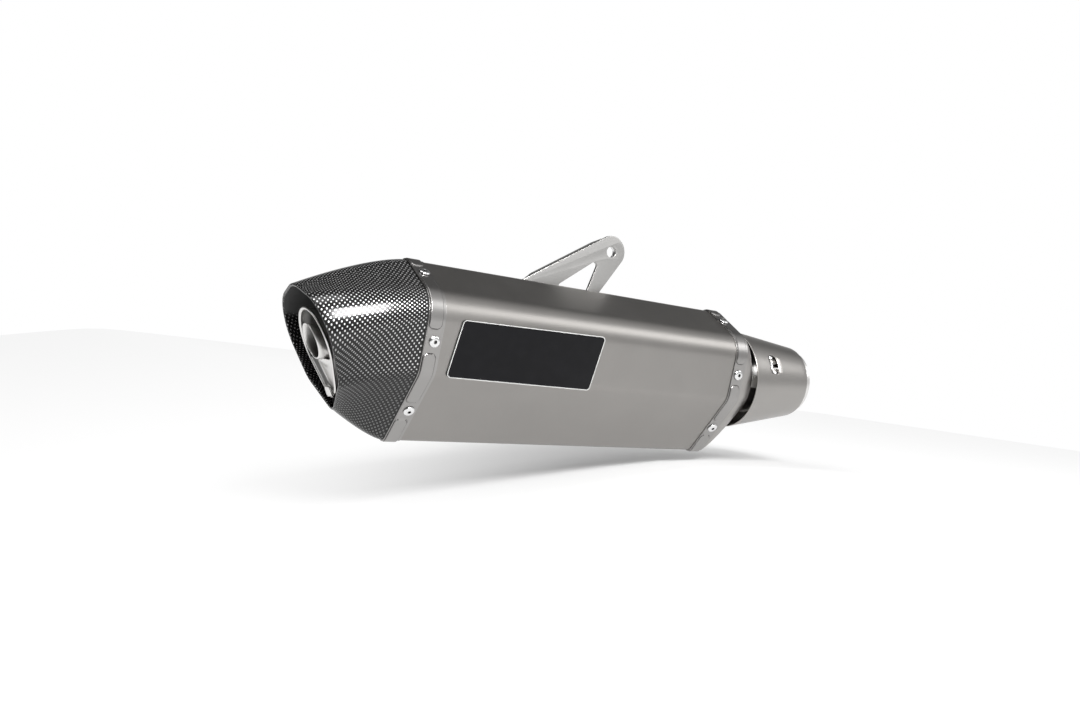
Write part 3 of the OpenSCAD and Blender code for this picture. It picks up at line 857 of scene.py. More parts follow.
@dataclass
class Strap:
    """A strap with pressed segments between its rivets."""

    form: SleeveForm
    name: str
    from_x: float
    width: float
    sheet: float = 1.2
    press: float = 0.9
    pad: float = 8.5
    margin: float = 1.3
    step: float = 0.36

    def _gaps(self, section: Section, traces: list[Trace]) -> list[tuple[float, float]]:
        """Middle and half length of each pressed segment, along the outline."""
        spots = []
        for side in (1, -1):
            for i, share in enumerate(RIVET_SHARES):
                at, _ = section.face(i, share)
                place = Vector((side * at.x, at.y))
                spots.append(min(traces, key=lambda t: (t.at - place).length).run)
        spots.sort()
        whole = traces[-1].run + (traces[0].at - traces[-1].at).length
        spans = zip(spots, spots[1:] + [spots[0] + whole])
        return [((a + b) / 2, (b - a) / 2 - self.pad) for a, b in spans]

    def _distance(self, run: float, across: float, gaps: list[tuple[float, float]], whole: float) -> float:
        """Signed distance from the nearest pressed segment's edge, below zero inside it."""
        best = 1e9
        radius = 3.2
        low, high = self.margin, self.width * 0.80
        for middle, half in gaps:
            along = abs((run - middle + whole / 2) % whole - whole / 2)
            dx = along - (half - radius)
            dy = abs(across - (low + high) / 2) - ((high - low) / 2 - radius)
            outside = math.hypot(max(dx, 0), max(dy, 0)) + min(max(dx, dy), 0)
            best = min(best, outside - radius)
        return best

    def build(self) -> bpy.types.Object:
        """Makes the strap."""
        arc_steps, flat_steps = 20, 60
        section = self.form.section(self.from_x)
        traces = section.traced(arc_steps, flat_steps)
        whole = traces[-1].run + (traces[0].at - traces[-1].at).length
        gaps = self._gaps(section, traces)
        edge, bead = 0.4, 1.0
        spread = 40
        rows = [bead + (self.width - edge - bead) * k / spread for k in range(spread + 1)]
        rings, painted_shades = [], []
        profile = [(x, None) for x in rows]
        profile += [(self.width - 0.09, 0.85), (self.width, 1.15)]
        profile += [(self.width, self.sheet), (0.0, self.sheet), (0.0, 0.72)]
        profile += [(0.12, 0.46), (0.36, 0.34), (0.62, 0.46), (0.82, 0.76)]
        for across, fixed in profile:
            here = self.form.section(self.from_x + across).traced(arc_steps, flat_steps)
            ring, painted_shade = [], []
            for t, base in zip(here, traces):
                away = self._distance(base.run, across, gaps, whole)
                lift = min(1.0, max(0.0, 0.5 - away / self.step))
                lift = lift * lift * (3 - 2 * lift)
                depth = self.press * (1 - lift) if fixed is None else fixed
                ring.append(self.form.datum.at(self.from_x + across, *t.inset(depth)))
                # Painted shade: a thin dark line along the edge of each pressed segment, where shade falls in the
                # groove.
                groove_shade = max(0.0, 1 - abs(away - 0.25) / 0.4)
                painted_shade.append(groove_shade if fixed is None else 0.0)
            rings.append(ring)
            painted_shades.append(painted_shade)
        return Skin(self.name, rings, wraps=True, marks={"painted_shade": painted_shades}, sharp=60.0).build()


@dataclass
class BlindRivet:
    """Domed flange with the hollow that the mandrel leaves."""

    flange: float = 4.0
    dome: float = 1.35
    hollow: float = 1.15
    sunk: float = 3.0

    def skin(self, name: str, spot: Matrix) -> Skin:
        """One rivet, its flange's underside at the spot.

        Args:
            name: Name of the piece.
            spot: Where it stands.

        Returns:
            The skin.
        """
        profile = [(self.hollow, -self.sunk), (self.flange * 0.6, -self.sunk), (self.flange * 0.6, 0.0)]
        profile += [(self.flange - 0.15, 0.0), (self.flange, 0.15)]
        steps = 7
        for k in range(1, steps + 1):
            a = math.pi / 2 * k / steps
            reach = self.flange - self.hollow - 0.35
            profile.append((self.hollow + 0.35 + reach * math.cos(a), 0.15 + (self.dome - 0.15) * math.sin(a)))
        profile += [(self.hollow + 0.08, self.dome - 0.1), (self.hollow, self.dome - 0.4)]
        # Painted shade: the inside of the mandrel hollow and the shank under the flange are darkened.
        return lathe(name, profile, spot, dark=(0, 1, len(profile) - 1))


@dataclass
class EndCap:
    """Carbon shell from the rear strap to the slanted lip."""

    form: SleeveForm
    lip: Section = Section(38.5, 51.5, 22, 31, -26.5, -47.5, 30, 28.8, 18.9, 11.2)
    lip_top_x: float = 78.5
    lip_bottom_x: float = 36.0
    laminate: float = 2.0
    bends: tuple[float, ...] = (1.5, 1.25, 1.2, 1.25, 1.2, 1.5, 1, 1, 1, 1)

    @property
    def lean(self) -> float:
        """Slope of the lip: x gained per millimetre of drop."""
        return (self.lip_top_x - self.lip_bottom_x) / (self.lip.top - self.lip.bottom)

    def lip_x(self, z: float) -> float:
        """Sleeve x of the lip's plane at a height."""
        return -self.lip_top_x + (self.lip.top - z) * self.lean

    def points(self, share: float, inset: float) -> tuple[Ring, list[float]]:
        """Ring between the strap at share 0 and the lip at share 1.

        Args:
            share: How far along the cap.
            inset: Depth below the sleeve's outline.

        Returns:
            Sleeve positions in millimetres, and their distance round the outline.
        """
        shape = self.form.rear.mixed(self.lip, [share**e for e in self.bends])
        lean = (self.lip_top_x - self.lip_bottom_x) * share / (shape.top - shape.bottom)
        ring, runs = [], []
        for t in shape.traced(14, 12):
            y, z = t.inset(inset)
            ring.append(Vector((-self.lip_top_x * share + lean * (shape.top - z), y, z)))
            runs.append(t.run)
        return ring, runs

    def build(self) -> bpy.types.Object:
        """Makes the cap with its cloth laid from the strap."""
        steps = 36
        edge = 0.6 / self.lip_top_x
        rows: list[tuple[Ring, float]] = []
        for x, depth in ((6.0, 1.4), (-0.1, 1.4)):
            ring, _ = self.points(0.0, SHEET_IN + depth - 1.25 + 0.4)
            rows.append(([p + Vector((x, 0, 0)) for p in ring], 1.0))
        for k in range(steps + 1):
            share = edge + (1 - 2 * edge) * (k / steps) ** 1.05
            rows.append((self.points(share, SHEET_IN)[0], 0.0))
        outer, inner = rows[-1][0], self.points(1 - edge, SHEET_IN + self.laminate)[0]
        away = Vector((-1, 0, -self.lean)).normalized()
        for turn in (30, 60, 90, 120, 150):
            c, s = math.cos(math.radians(turn)), math.sin(math.radians(turn))
            rows.append(([(a + b) / 2 + (a - b) / 2 * c + away * 0.8 * s for a, b in zip(outer, inner)], 0.0))
        for k in range(steps // 2, -1, -1):
            share = (1 - edge) * k / (steps // 2)
            rows.append((self.points(share, SHEET_IN + self.laminate)[0], 0.0))
        runs = self.points(0.5, SHEET_IN)[1]
        travel = [0.0] * len(runs)
        uv, plain = [], []
        for j, (ring, bare) in enumerate(rows):
            if j:
                travel = [v + (p - q).length for v, p, q in zip(travel, ring, rows[j - 1][0])]
            uv.append(list(zip(runs, travel)))
            inside = j > steps + 7
            plain.append([max(bare, self._trim(p) if inside else 0.0) for p in ring])
        for row in uv:
            row.append((runs[-1] + (runs[1] - runs[0]), row[0][1]))
        uv.append(uv[0])
        rings = [[self.form.datum.at(*p) for p in ring] for ring, _ in rows]
        return Skin("carbon_cap", rings, wraps=True, uv=uv, marks={"plain": plain}, sharp=60.0).build()

    def _trim(self, place: Vector) -> float:
        """1 where the lip's smooth lining is, high inside the lip, and 0 elsewhere."""
        high = min(1.0, max(0.0, (place.z - 15.0) / 3.0))
        return high * high * (3 - 2 * high)


@dataclass
class FrontCap:
    """Formed cap from the front strap to the round inlet."""

    form: SleeveForm
    start_x: float = 278.0
    length: float = 16.0
    end_r: float = 34.0
    sheet: float = 1.2
    hole_r: float = 25.6

    def _ring(self, share: float, x: float, inset: float) -> Ring:
        """Ring between the sleeve's outline at share 0 and the round end at share 1."""
        datum, middle = self.form.datum, self.form.datum.path_z(x)
        ring = []
        for t in self.form.section(self.start_x).traced():
            flat = t.inset(SHEET_IN + inset)
            disc = Vector((0, middle)) + t.out * (self.end_r - inset)
            ring.append(datum.at(x, *flat.lerp(disc, share)))
        return ring

    def _disc(self, x: float, radius: float) -> Ring:
        """Round ring about the gas path."""
        datum, middle = self.form.datum, self.form.datum.path_z(x)
        return [datum.at(x, radius * t.out.x, middle + radius * t.out.y)
                for t in self.form.section(self.start_x).traced()]

    def build(self) -> bpy.types.Object:
        """Makes the cap."""
        rings = [self.form.ring(264.0, SHEET_IN + 1.2), self.form.ring(self.start_x - 1.6, SHEET_IN + 1.2)]
        rings.append(self.form.ring(self.start_x - 1.4, SHEET_IN))
        steps = 14
        shares = [k / steps for k in range(steps + 1)]
        for k in shares:
            rings.append(self._ring(k**1.4, self.start_x + self.length * k, 0.0))
        wall = self.start_x + self.length
        rings += [self._disc(wall + 0.35, self.end_r - 0.6), self._disc(wall + 0.5, self.end_r - 1.4)]
        rings += [self._disc(wall + 0.5, self.hole_r + 2), self._disc(wall + 0.5, self.hole_r)]
        rings.append(self._disc(wall - 0.7, self.hole_r))
        for k in reversed(shares[1:]):
            rings.append(self._ring(k**1.4, self.start_x + self.length * k - self.sheet, self.sheet))
        rings.append(self.form.ring(264.0, SHEET_IN + 2.4))
        return Skin("front_dome", rings, wraps=True, sharp=50.0).build()


@dataclass
class Teardrop:
    """Outline of the outlet: a wide upper arc and a narrow lower arc."""

    radius: float = 22.5
    centre_z: float = -1.0
    low_radius: float = 13.0
    low_z: float = -21.0

    def traced(self, steps: int = 96) -> list[Trace]:
        """Points round it with their outward directions, evenly turned and evenly spaced."""
        drop = self.centre_z - self.low_z
        tilt = math.asin((self.radius - self.low_radius) / drop)
        upper = math.pi + 2 * tilt
        lower = 2 * math.pi - upper
        flank = math.sqrt(drop**2 - (self.radius - self.low_radius) ** 2)
        parts = [upper * self.radius, flank, lower * self.low_radius, flank]
        whole = sum(parts)
        traces = []
        for k in range(steps):
            run = whole * k / steps
            if run < parts[0]:
                a = math.pi / 2 - upper / 2 + run / self.radius
                out = Vector((math.cos(a), math.sin(a)))
                at = Vector((0, self.centre_z)) + out * self.radius
            elif run < parts[0] + parts[1]:
                a = math.pi / 2 + upper / 2
                out = Vector((math.cos(a), math.sin(a)))
                share = (run - parts[0]) / flank
                at = (Vector((0, self.centre_z)) + out * self.radius).lerp(
                    Vector((0, self.low_z)) + out * self.low_radius, share
                )
            elif run < whole - flank:
                a = math.pi / 2 + upper / 2 + (run - parts[0] - parts[1]) / self.low_radius
                out = Vector((math.cos(a), math.sin(a)))
                at = Vector((0, self.low_z)) + out * self.low_radius
            else:
                a = math.pi / 2 - upper / 2
                out = Vector((math.cos(a), math.sin(a)))
                share = (run - whole + flank) / flank
                at = (Vector((0, self.low_z)) + out * self.low_radius).lerp(
                    Vector((0, self.centre_z)) + out * self.radius, share
                )
            traces.append(Trace(at, out, run))
        return traces


@dataclass
class Outlet:
    """Teardrop pipe with a rolled rim, cut parallel to the lip."""

    cap: EndCap
    outline: Teardrop = field(default_factory=Teardrop)
    wall: float = 1.2
    recess: float = 2.5
    bead: float = 1.05
    end_x: float = 13.4

    def slant(self, trace_at: Vector, depth: float) -> float:
        """Sleeve x at a depth inside the lip's plane, measured along x."""
        return self.cap.lip_x(trace_at.y) + depth

    def build(self) -> bpy.types.Object:
        """Makes the pipe."""
        datum, traces = self.cap.form.datum, self.outline.traced()
        rings = []
        profile = [(None, 0.0), (9.0, 0.0), (2.4, 0.0)]
        for k in range(9):
            a = math.radians(-60 + k * 35)
            profile.append((self.bead * (1 - math.sin(a)), self.wall / 2 - self.bead * math.cos(a)))
        profile += [(2.4, self.wall), (9.0, self.wall), (None, self.wall)]
        for depth, inset in profile:
            ring = []
            for t in traces:
                place = t.inset(inset)
                x = self.end_x if depth is None else self.slant(place, self.recess + depth)
                ring.append(datum.at(x, *place))
            rings.append(ring)
        shades = [[0.0] * len(traces) for _ in rings]
        # Painted shade: the pipe's inner wall is darkened from 9 mm inside the lip onwards, deep in the pipe.
        shades[-1] = shades[-2] = [0.8] * len(traces)
        return Skin("outlet_rim", rings, wraps=True, marks={"painted_shade": shades}, sharp=60.0).build()


@dataclass
class NoiseInsert:
    """Round tube in a plate that closes the outlet, with a dished cup below it and a screw tab."""

    outlet: Outlet
    tube_r: float = 11.5
    wall: float = 1.2
    reach: float = 30.0
    gap: float = 0.35

    def _tube(self) -> bpy.types.Object:
        """The round tube with its slanted, softly rounded mouth."""
        datum, steps = self.outlet.cap.form.datum, 72
        rings = []
        profile = [(None, 0.0), (12.0, 0.0), (3.0, 0.0), (0.6, 0.0), (0.18, 0.15), (0.0, 0.45)]
        profile += [(0.0, self.wall - 0.45), (0.18, self.wall - 0.15), (0.6, self.wall)]
        profile += [(3.0, self.wall), (12.0, self.wall), (20.0, self.wall), (None, self.wall)]
        # Painted shade: the tube's inner wall is darkened deep inside.
        deep_shade = [0.0] * 9 + [0.25, 0.8, 1.0, 1.0]
        for depth, inset in profile:
            ring = []
            for k in range(steps):
                a = 2 * math.pi * k / steps
                place = Vector((math.cos(a), math.sin(a))) * (self.tube_r - inset)
                x = self.reach if depth is None else self.outlet.slant(place, depth)
                ring.append(datum.at(x, *place))
            rings.append(ring)
        shades = [[shade] * steps for shade in deep_shade]
        return Skin("insert_tube", rings, wraps=True, marks={"painted_shade": shades}, sharp=60.0).build()

    def _plate(self) -> bpy.types.Object:
        """The plate inside the outlet: deep round the tube, darkened there with painted shade, and a shallow bright
        dish below it.
        """
        datum, drop = self.outlet.cap.form.datum, self.outlet.outline
        traces = drop.traced()
        rim = self.outlet.wall + self.gap
        middle = Vector((0, -8.0))
        rings, shades = [], []
        shares = [0.0, 0.02, 0.05] + [0.05 + 0.95 * k / 22 for k in range(1, 23)]
        for side in (0.0, self.wall):
            rows, deep_shades = [], []
            for share in shares:
                ring, deep_shade = [], []
                for t in traces:
                    edge = t.inset(rim)
                    place = edge.lerp(middle, share * 0.995)
                    ring.append(datum.at(self.outlet.slant(place, self._depth(place, t)) + side, *place))
                    # Painted shade: the deep part of the plate round the tube is darkened; the shallow dish below
                    # stays bright.
                    deep_shade.append(0.85 * (1 - self._step(-9.0, -10.6, place.y)))
                rows.append(ring)
                deep_shades.append(deep_shade)
            rings += rows if not side else list(reversed(rows))
            shades += deep_shades if not side else list(reversed(deep_shades))
        return Skin("insert_plate", rings, wraps=True, marks={"painted_shade": shades}, sharp=60.0).build()

    def _depth(self, place: Vector, trace: Trace) -> float:
        """Depth of the plate's face inside the lip, along x."""
        from_tube = place.length - self.tube_r
        ledge = self._step(-9.0, -10.6, place.y)
        deep = 15.0 * (1 - ledge)
        bowl = self.outlet.recess + 0.9
        inward = (trace.at - place).length
        dish = 3.2 * self._step(1.8, 5.0, inward) * self._step(1.2, 4.6, from_tube)
        return bowl + deep + dish * ledge

    @staticmethod
    def _step(low: float, high: float, value: float) -> float:
        """Smooth step between two values."""
        t = min(1.0, max(0.0, (value - low) / (high - low)))
        return t * t * (3 - 2 * t)

    def build(self) -> bpy.types.Object:
        """Makes the insert as one piece."""
        return joined("insert_body", [self._tube(), self._plate(), *self._tab()])

    def _tab(self) -> list[bpy.types.Object]:
        """The tab that hooks over the outlet's lower edge and takes the screw."""
        datum, cap = self.outlet.cap.form.datum, self.outlet.cap
        low = self.outlet.outline.low_z - self.outlet.outline.low_radius
        below, screw_z, half = low - 0.3, low - 3.1, 4.5
        edge_x = cap.lip_x(below) + self.outlet.recess - 0.3 - self.wall
        lug_x = cap.lip_x(screw_z) + self.outlet.recess + 4.0
        parts = []
        run = lug_x - edge_x
        strip = rounded([(0, -half), (run, -half), (run, half), (0, half)], [1.0, 0.2, 0.2, 1.0])
        spot = frame_of(datum.at(edge_x, 0, below - self.wall), Vector((0, 0, 1)), Vector((1, 0, 0)))
        slot = rounded([(-1, -2.3), (run - self.wall, -2.3), (run - self.wall, 2.3), (-1, 2.3)], [0.2] * 4)
        tab = sheet_metal("tab_strip", [strip], self.wall, spot, 0.2)
        tool = sheet_metal("tab_slot", [slot], 3.0, spot @ Matrix.Translation((0, 0, -MM)), 0.1)
        parts.append(cut(tab, tool))
        lug = frame_of(datum.at(lug_x - self.wall, 0, screw_z), Vector((1, 0, 0)), Vector((0, 0, 1)))
        plate = circle((0, 0), 2.85)
        parts.append(sheet_metal("tab_lug", [plate, circle((0, 0), 1.8)], self.wall, lug, 0.15))
        hook = rounded([(0, -half), (6.5, -half), (6.5, half), (0, half)], [0.4, 2.0, 2.0, 0.4])
        rise = Vector((-cap.lean, 0, 1)).normalized()
        face = Vector((1, 0, cap.lean)).normalized()
        spot = frame_of(datum.at(edge_x, 0, below - self.wall * 0.5), face, rise)
        parts.append(sheet_metal("tab_hook", [hook], self.wall, spot, 0.25))
        return parts


@dataclass
class HeatShield:
    """Cone over the inlet with a rolled wide end and an oval hole over the clamp bolt."""

    datum: Datum
    near: float = 6.0
    length: float = 62.0
    wide_r: float = 39.0
    narrow_r: float = 28.8
    sheet: float = 0.9
    clamp_back: float = 45.0
    clamp_angle: float = 25.0

    def build(self) -> bpy.types.Object:
        """Makes the shield."""
        steps, rings = 128, []
        slope = (self.wide_r - self.narrow_r) / self.length
        profile = [(self.near + 0.1, self.narrow_r - 0.4), (self.near, self.narrow_r - 0.15)]
        profile += [(self.near + k * self.length / 12, self.narrow_r + slope * k * self.length / 12)
                    for k in (0.15, *range(1, 12))]
        far = self.near + self.length
        profile += [(far - 0.8, self.wide_r - slope * 0.8), (far, self.wide_r + 0.05)]
        profile += [(far + 0.35, self.wide_r - 0.15), (far + 0.45, self.wide_r - 0.5)]
        profile += [(far + 0.35, self.wide_r - 0.85), (far - 0.2, self.wide_r - self.sheet - 0.1)]
        profile += [(far - 0.8, self.wide_r - self.sheet - slope * 0.8)]
        profile.append((self.near + 0.3, self.narrow_r - self.sheet))
        for back, radius in profile:
            turns = [2 * math.pi * k / steps for k in range(steps)]
            rings.append([self.datum.along(-back, radius * math.cos(a), radius * math.sin(a)) for a in turns])
        shield = Skin("shield_cone", rings, wraps=True, sharp=50.0).build()
        angle = math.radians(self.clamp_angle)
        out = self.datum.along(0, -math.cos(angle), math.sin(angle)).normalized()
        ahead = self.datum.along(1, 0, 0).normalized()
        spot = frame_of(self.datum.along(-self.clamp_back - 1, 0, 0) + out * 0.022, out, ahead)
        hole = rounded([(-4.5, -8), (4.5, -8), (4.5, 8), (-4.5, 8)], [4.5] * 4, 12)
        return cut(shield, sheet_metal("shield_hole", [hole], 30.0, spot, 0.01))


@dataclass
class HangerBracket:
    """Sheet bracket with a bent upper edge, a window and a foot riveted to the sleeve."""

    form: SleeveForm
    hole: tuple[float, float] = (182.0, 97.5)
    hole_r: float = 4.25
    tip_r: float = 12.5
    plate_y: float = 19.5
    sheet: float = 2.5
    foot_length: float = 76.0
    foot_width: float = 20.0
    lean: float = 49.0
    lip_width: float = 6.5

    def __post_init__(self) -> None:
        """Works out the plate's corners."""
        section = self.form.section(self.mid_x)
        self.slope = math.atan((section.top - section.upper_z) / section.upper_w)
        self.base = section.top - self.plate_y * math.tan(self.slope)
        half = self.foot_length / 2 - 1.5
        self.edge_start = Vector((self.mid_x - half, self.base + 3))
        turn = math.radians(32)
        self.edge_end = Vector(self.hole) + Vector((-math.sin(turn), math.cos(turn))) * self.tip_r

    @property
    def mid_x(self) -> float:
        """Middle of the foot along the sleeve."""
        return self.hole[0] - self.lean

    def _upright(self) -> Matrix:
        """Place of the plate: x forward, y up, z towards the outer side."""
        origin = self.form.datum.at(0, self.plate_y + self.sheet, 0)
        return frame_of(origin, Vector((0, -1, 0)), Vector((1, 0, 0)))

    def _foot_spot(self, along: float, across: float, rise: float) -> Matrix:
        """Place on the foot's face.

        Args:
            along: Millimetres forward of the foot's middle.
            across: Millimetres out from the plate along the face.
            rise: Millimetres out of the face.

        Returns:
            The placing matrix.
        """
        c, s = math.cos(self.slope), math.sin(self.slope)
        y = self.plate_y + across * c + rise * s
        z = self.base - across * s + rise * c
        return frame_of(self.form.datum.at(self.mid_x + along, y, z), Vector((0, s, c)), Vector((1, 0, 0)))

    def build(self) -> bpy.types.Object:
        """Makes the bracket."""
        half = self.foot_length / 2 - 1.5
        turn = math.radians(28)
        tip = Vector(self.hole)
        front = tip + Vector((math.cos(turn), -math.sin(turn))) * self.tip_r
        start = math.atan2(front.y - tip.y, front.x - tip.x)
        end = math.atan2(self.edge_end.y - tip.y, self.edge_end.x - tip.x)
        steps = 28
        arc = [tip + Vector((math.cos(a), math.sin(a))) * self.tip_r
               for a in (start + (end - start) * k / steps for k in range(steps + 1))]
        foot = [Vector((self.mid_x - half, self.base)), Vector((self.mid_x + half, self.base))]
        outline = [*foot, *arc, self.edge_start]
        floor_z = self.base + 6.5
        window = rounded(
            [(self.mid_x + 0, floor_z), (self.mid_x + 30.5, floor_z),
             (self.hole[0] - 9.5, self.hole[1] - self.tip_r + 6.5)], [2.5, 2.5, 2.6])
        plate = sheet_metal(
            "bracket_plate", [outline, window, circle(self.hole, self.hole_r)], self.sheet, self._upright())
        corners = [(-self.foot_length / 2, -0.5), (self.foot_length / 2, -0.5),
                   (self.foot_length / 2, self.foot_width), (-self.foot_length / 2, self.foot_width)]
        foot_sheet = sheet_metal(
            "bracket_foot", [rounded(corners, [0.5, 0.5, 5, 5])], self.sheet, self._foot_spot(0, 0, -1.0))
        return joined("bracket_sheet", [plate, self._bent_edge(), foot_sheet])

    def _bent_edge(self) -> bpy.types.Object:
        """The flange bent back along the plate's upper edge."""
        datum = self.form.datum
        run = self.edge_end - self.edge_start
        along = run.normalized()
        out = Vector((-along.y, along.x))
        steps, rings, bend = 30, [], 3.0
        for k in range(steps + 1):
            share = 0.17 + 0.79 * k / steps
            ends = min(k, steps - k) / 2.5
            width = self.lip_width * min(1.0, 0.25 + ends * 0.75)
            base = self.edge_start + run * share
            profile = [(-bend, 0.0)]
            profile += [(-bend + bend * math.sin(a), bend - bend * math.cos(a))
                        for a in (math.radians(15 * n) for n in range(1, 7))]
            profile += [(0.0, width - 0.4), (-0.4, width), (-self.sheet + 0.4, width)]
            profile += [(-self.sheet, width - 0.4), (-self.sheet, bend), (-bend, self.sheet)]
            ring = []
            for rise, back in profile:
                place = base + out * (rise + 0.35)
                ring.append(datum.at(place.x, self.plate_y + back, place.y))
            rings.append(ring)
        rings = [[sum(rings[0], Vector()) / len(rings[0])] * len(rings[0]), *rings,
                 [sum(rings[-1], Vector()) / len(rings[-1])] * len(rings[-1])]
        return Skin("bracket_edge", rings, sharp=50.0).build()

    def rivet_spots(self) -> list[Matrix]:
        """Places of the foot's rivets, on top of the foot."""
        half = self.foot_length / 2
        return [self._foot_spot(x, self.foot_width * 0.62, self.sheet - 1.0)
                for x in (-half + 8, -10, 12, half - 8)]

    def boss(self) -> Skin:
        """The chamfered ring welded behind the hole."""
        origin = self.form.datum.at(self.hole[0], self.plate_y + self.sheet + 0.05, self.hole[1])
        spot = frame_of(origin, Vector((0, 1, 0)), Vector((1, 0, 0)))
        r, w, h = self.hole_r, self.hole_r + 2.75, 2.5
        profile = [(r, 0), (w, 0), (w, h - 0.5), (w - 0.5, h), (r + 0.4, h), (r, h - 0.4)]
        return lathe("bracket_boss_ring", profile, spot, 64)


@dataclass
class BadgePlate:
    """Slanted plain plate with a pale edge."""

    form: SleeveForm
    length: float = 116.0
    height: float = 40.0
    sheet: float = 0.8
    slant: float = 9.0
    middle: float = 0.305
    share: float = 0.625
    corner: float = 3.0
    inner_corner: float = 2.4
    edge_from: float = 0.05
    edge_to: float = 0.7
    edge_t: float = 0.16

    def spot(self, rise: float) -> Matrix:
        """Place on the outer side face, x forward and y up.

        Args:
            rise: Millimetres out of the plate's underside.

        Returns:
            The placing matrix.
        """
        seat = self.form.spot(self.form.length * self.middle, 1, self.share, -1)
        return seat @ Matrix.Translation((0, 0, (rise - 1.2 + 0.25) * MM))

    def _outline(self, inset: float, round_r: float) -> list[Vector]:
        """Slanted rounded outline, set in from the plate's own edge.

        Args:
            inset: Millimetres in from the edge.
            round_r: Radius of its corners.

        Returns:
            Its points.
        """
        lean = math.tan(math.radians(self.slant))
        half, tall = self.length / 2 - inset, self.height / 2 - inset
        corners = [(x + z * lean, z) for x, z in ((-half, -tall), (half, -tall), (half, tall), (-half, tall))]
        return rounded(corners, [round_r] * 4)

    def build(self) -> list[tuple[str, bpy.types.Object]]:
        """Makes the plate and its edge line.

        Returns:
            Pairs of a finish name and a piece.
        """
        plate = self._outline(0, self.corner)
        edge = [self._outline(self.edge_from, self.corner), self._outline(self.edge_to, self.inner_corner)]
        top = self.spot(self.sheet - 0.06)
        return [
            ("plate", sheet_metal("badge_panel", [plate], self.sheet, self.spot(0), 0.2)),
            ("edge", sheet_metal("badge_edge", edge, self.edge_t, top, 0.05)),
        ]


# ---------------------------------------------------------------- studio

# Name, direction from the silencer, distance, width and height, watts
SOFT_BOXES = (
    ("top_box", (-0.55, -0.05, 0.85), 1.4, (1.0, 0.6), 6),
    ("key_box", (-0.22, -0.76, 0.60), 1.5, (0.5, 0.6), 36),
    ("side_box", (0.6, -0.5, 0.55), 1.6, (1.0, 0.55), 4.6),
)


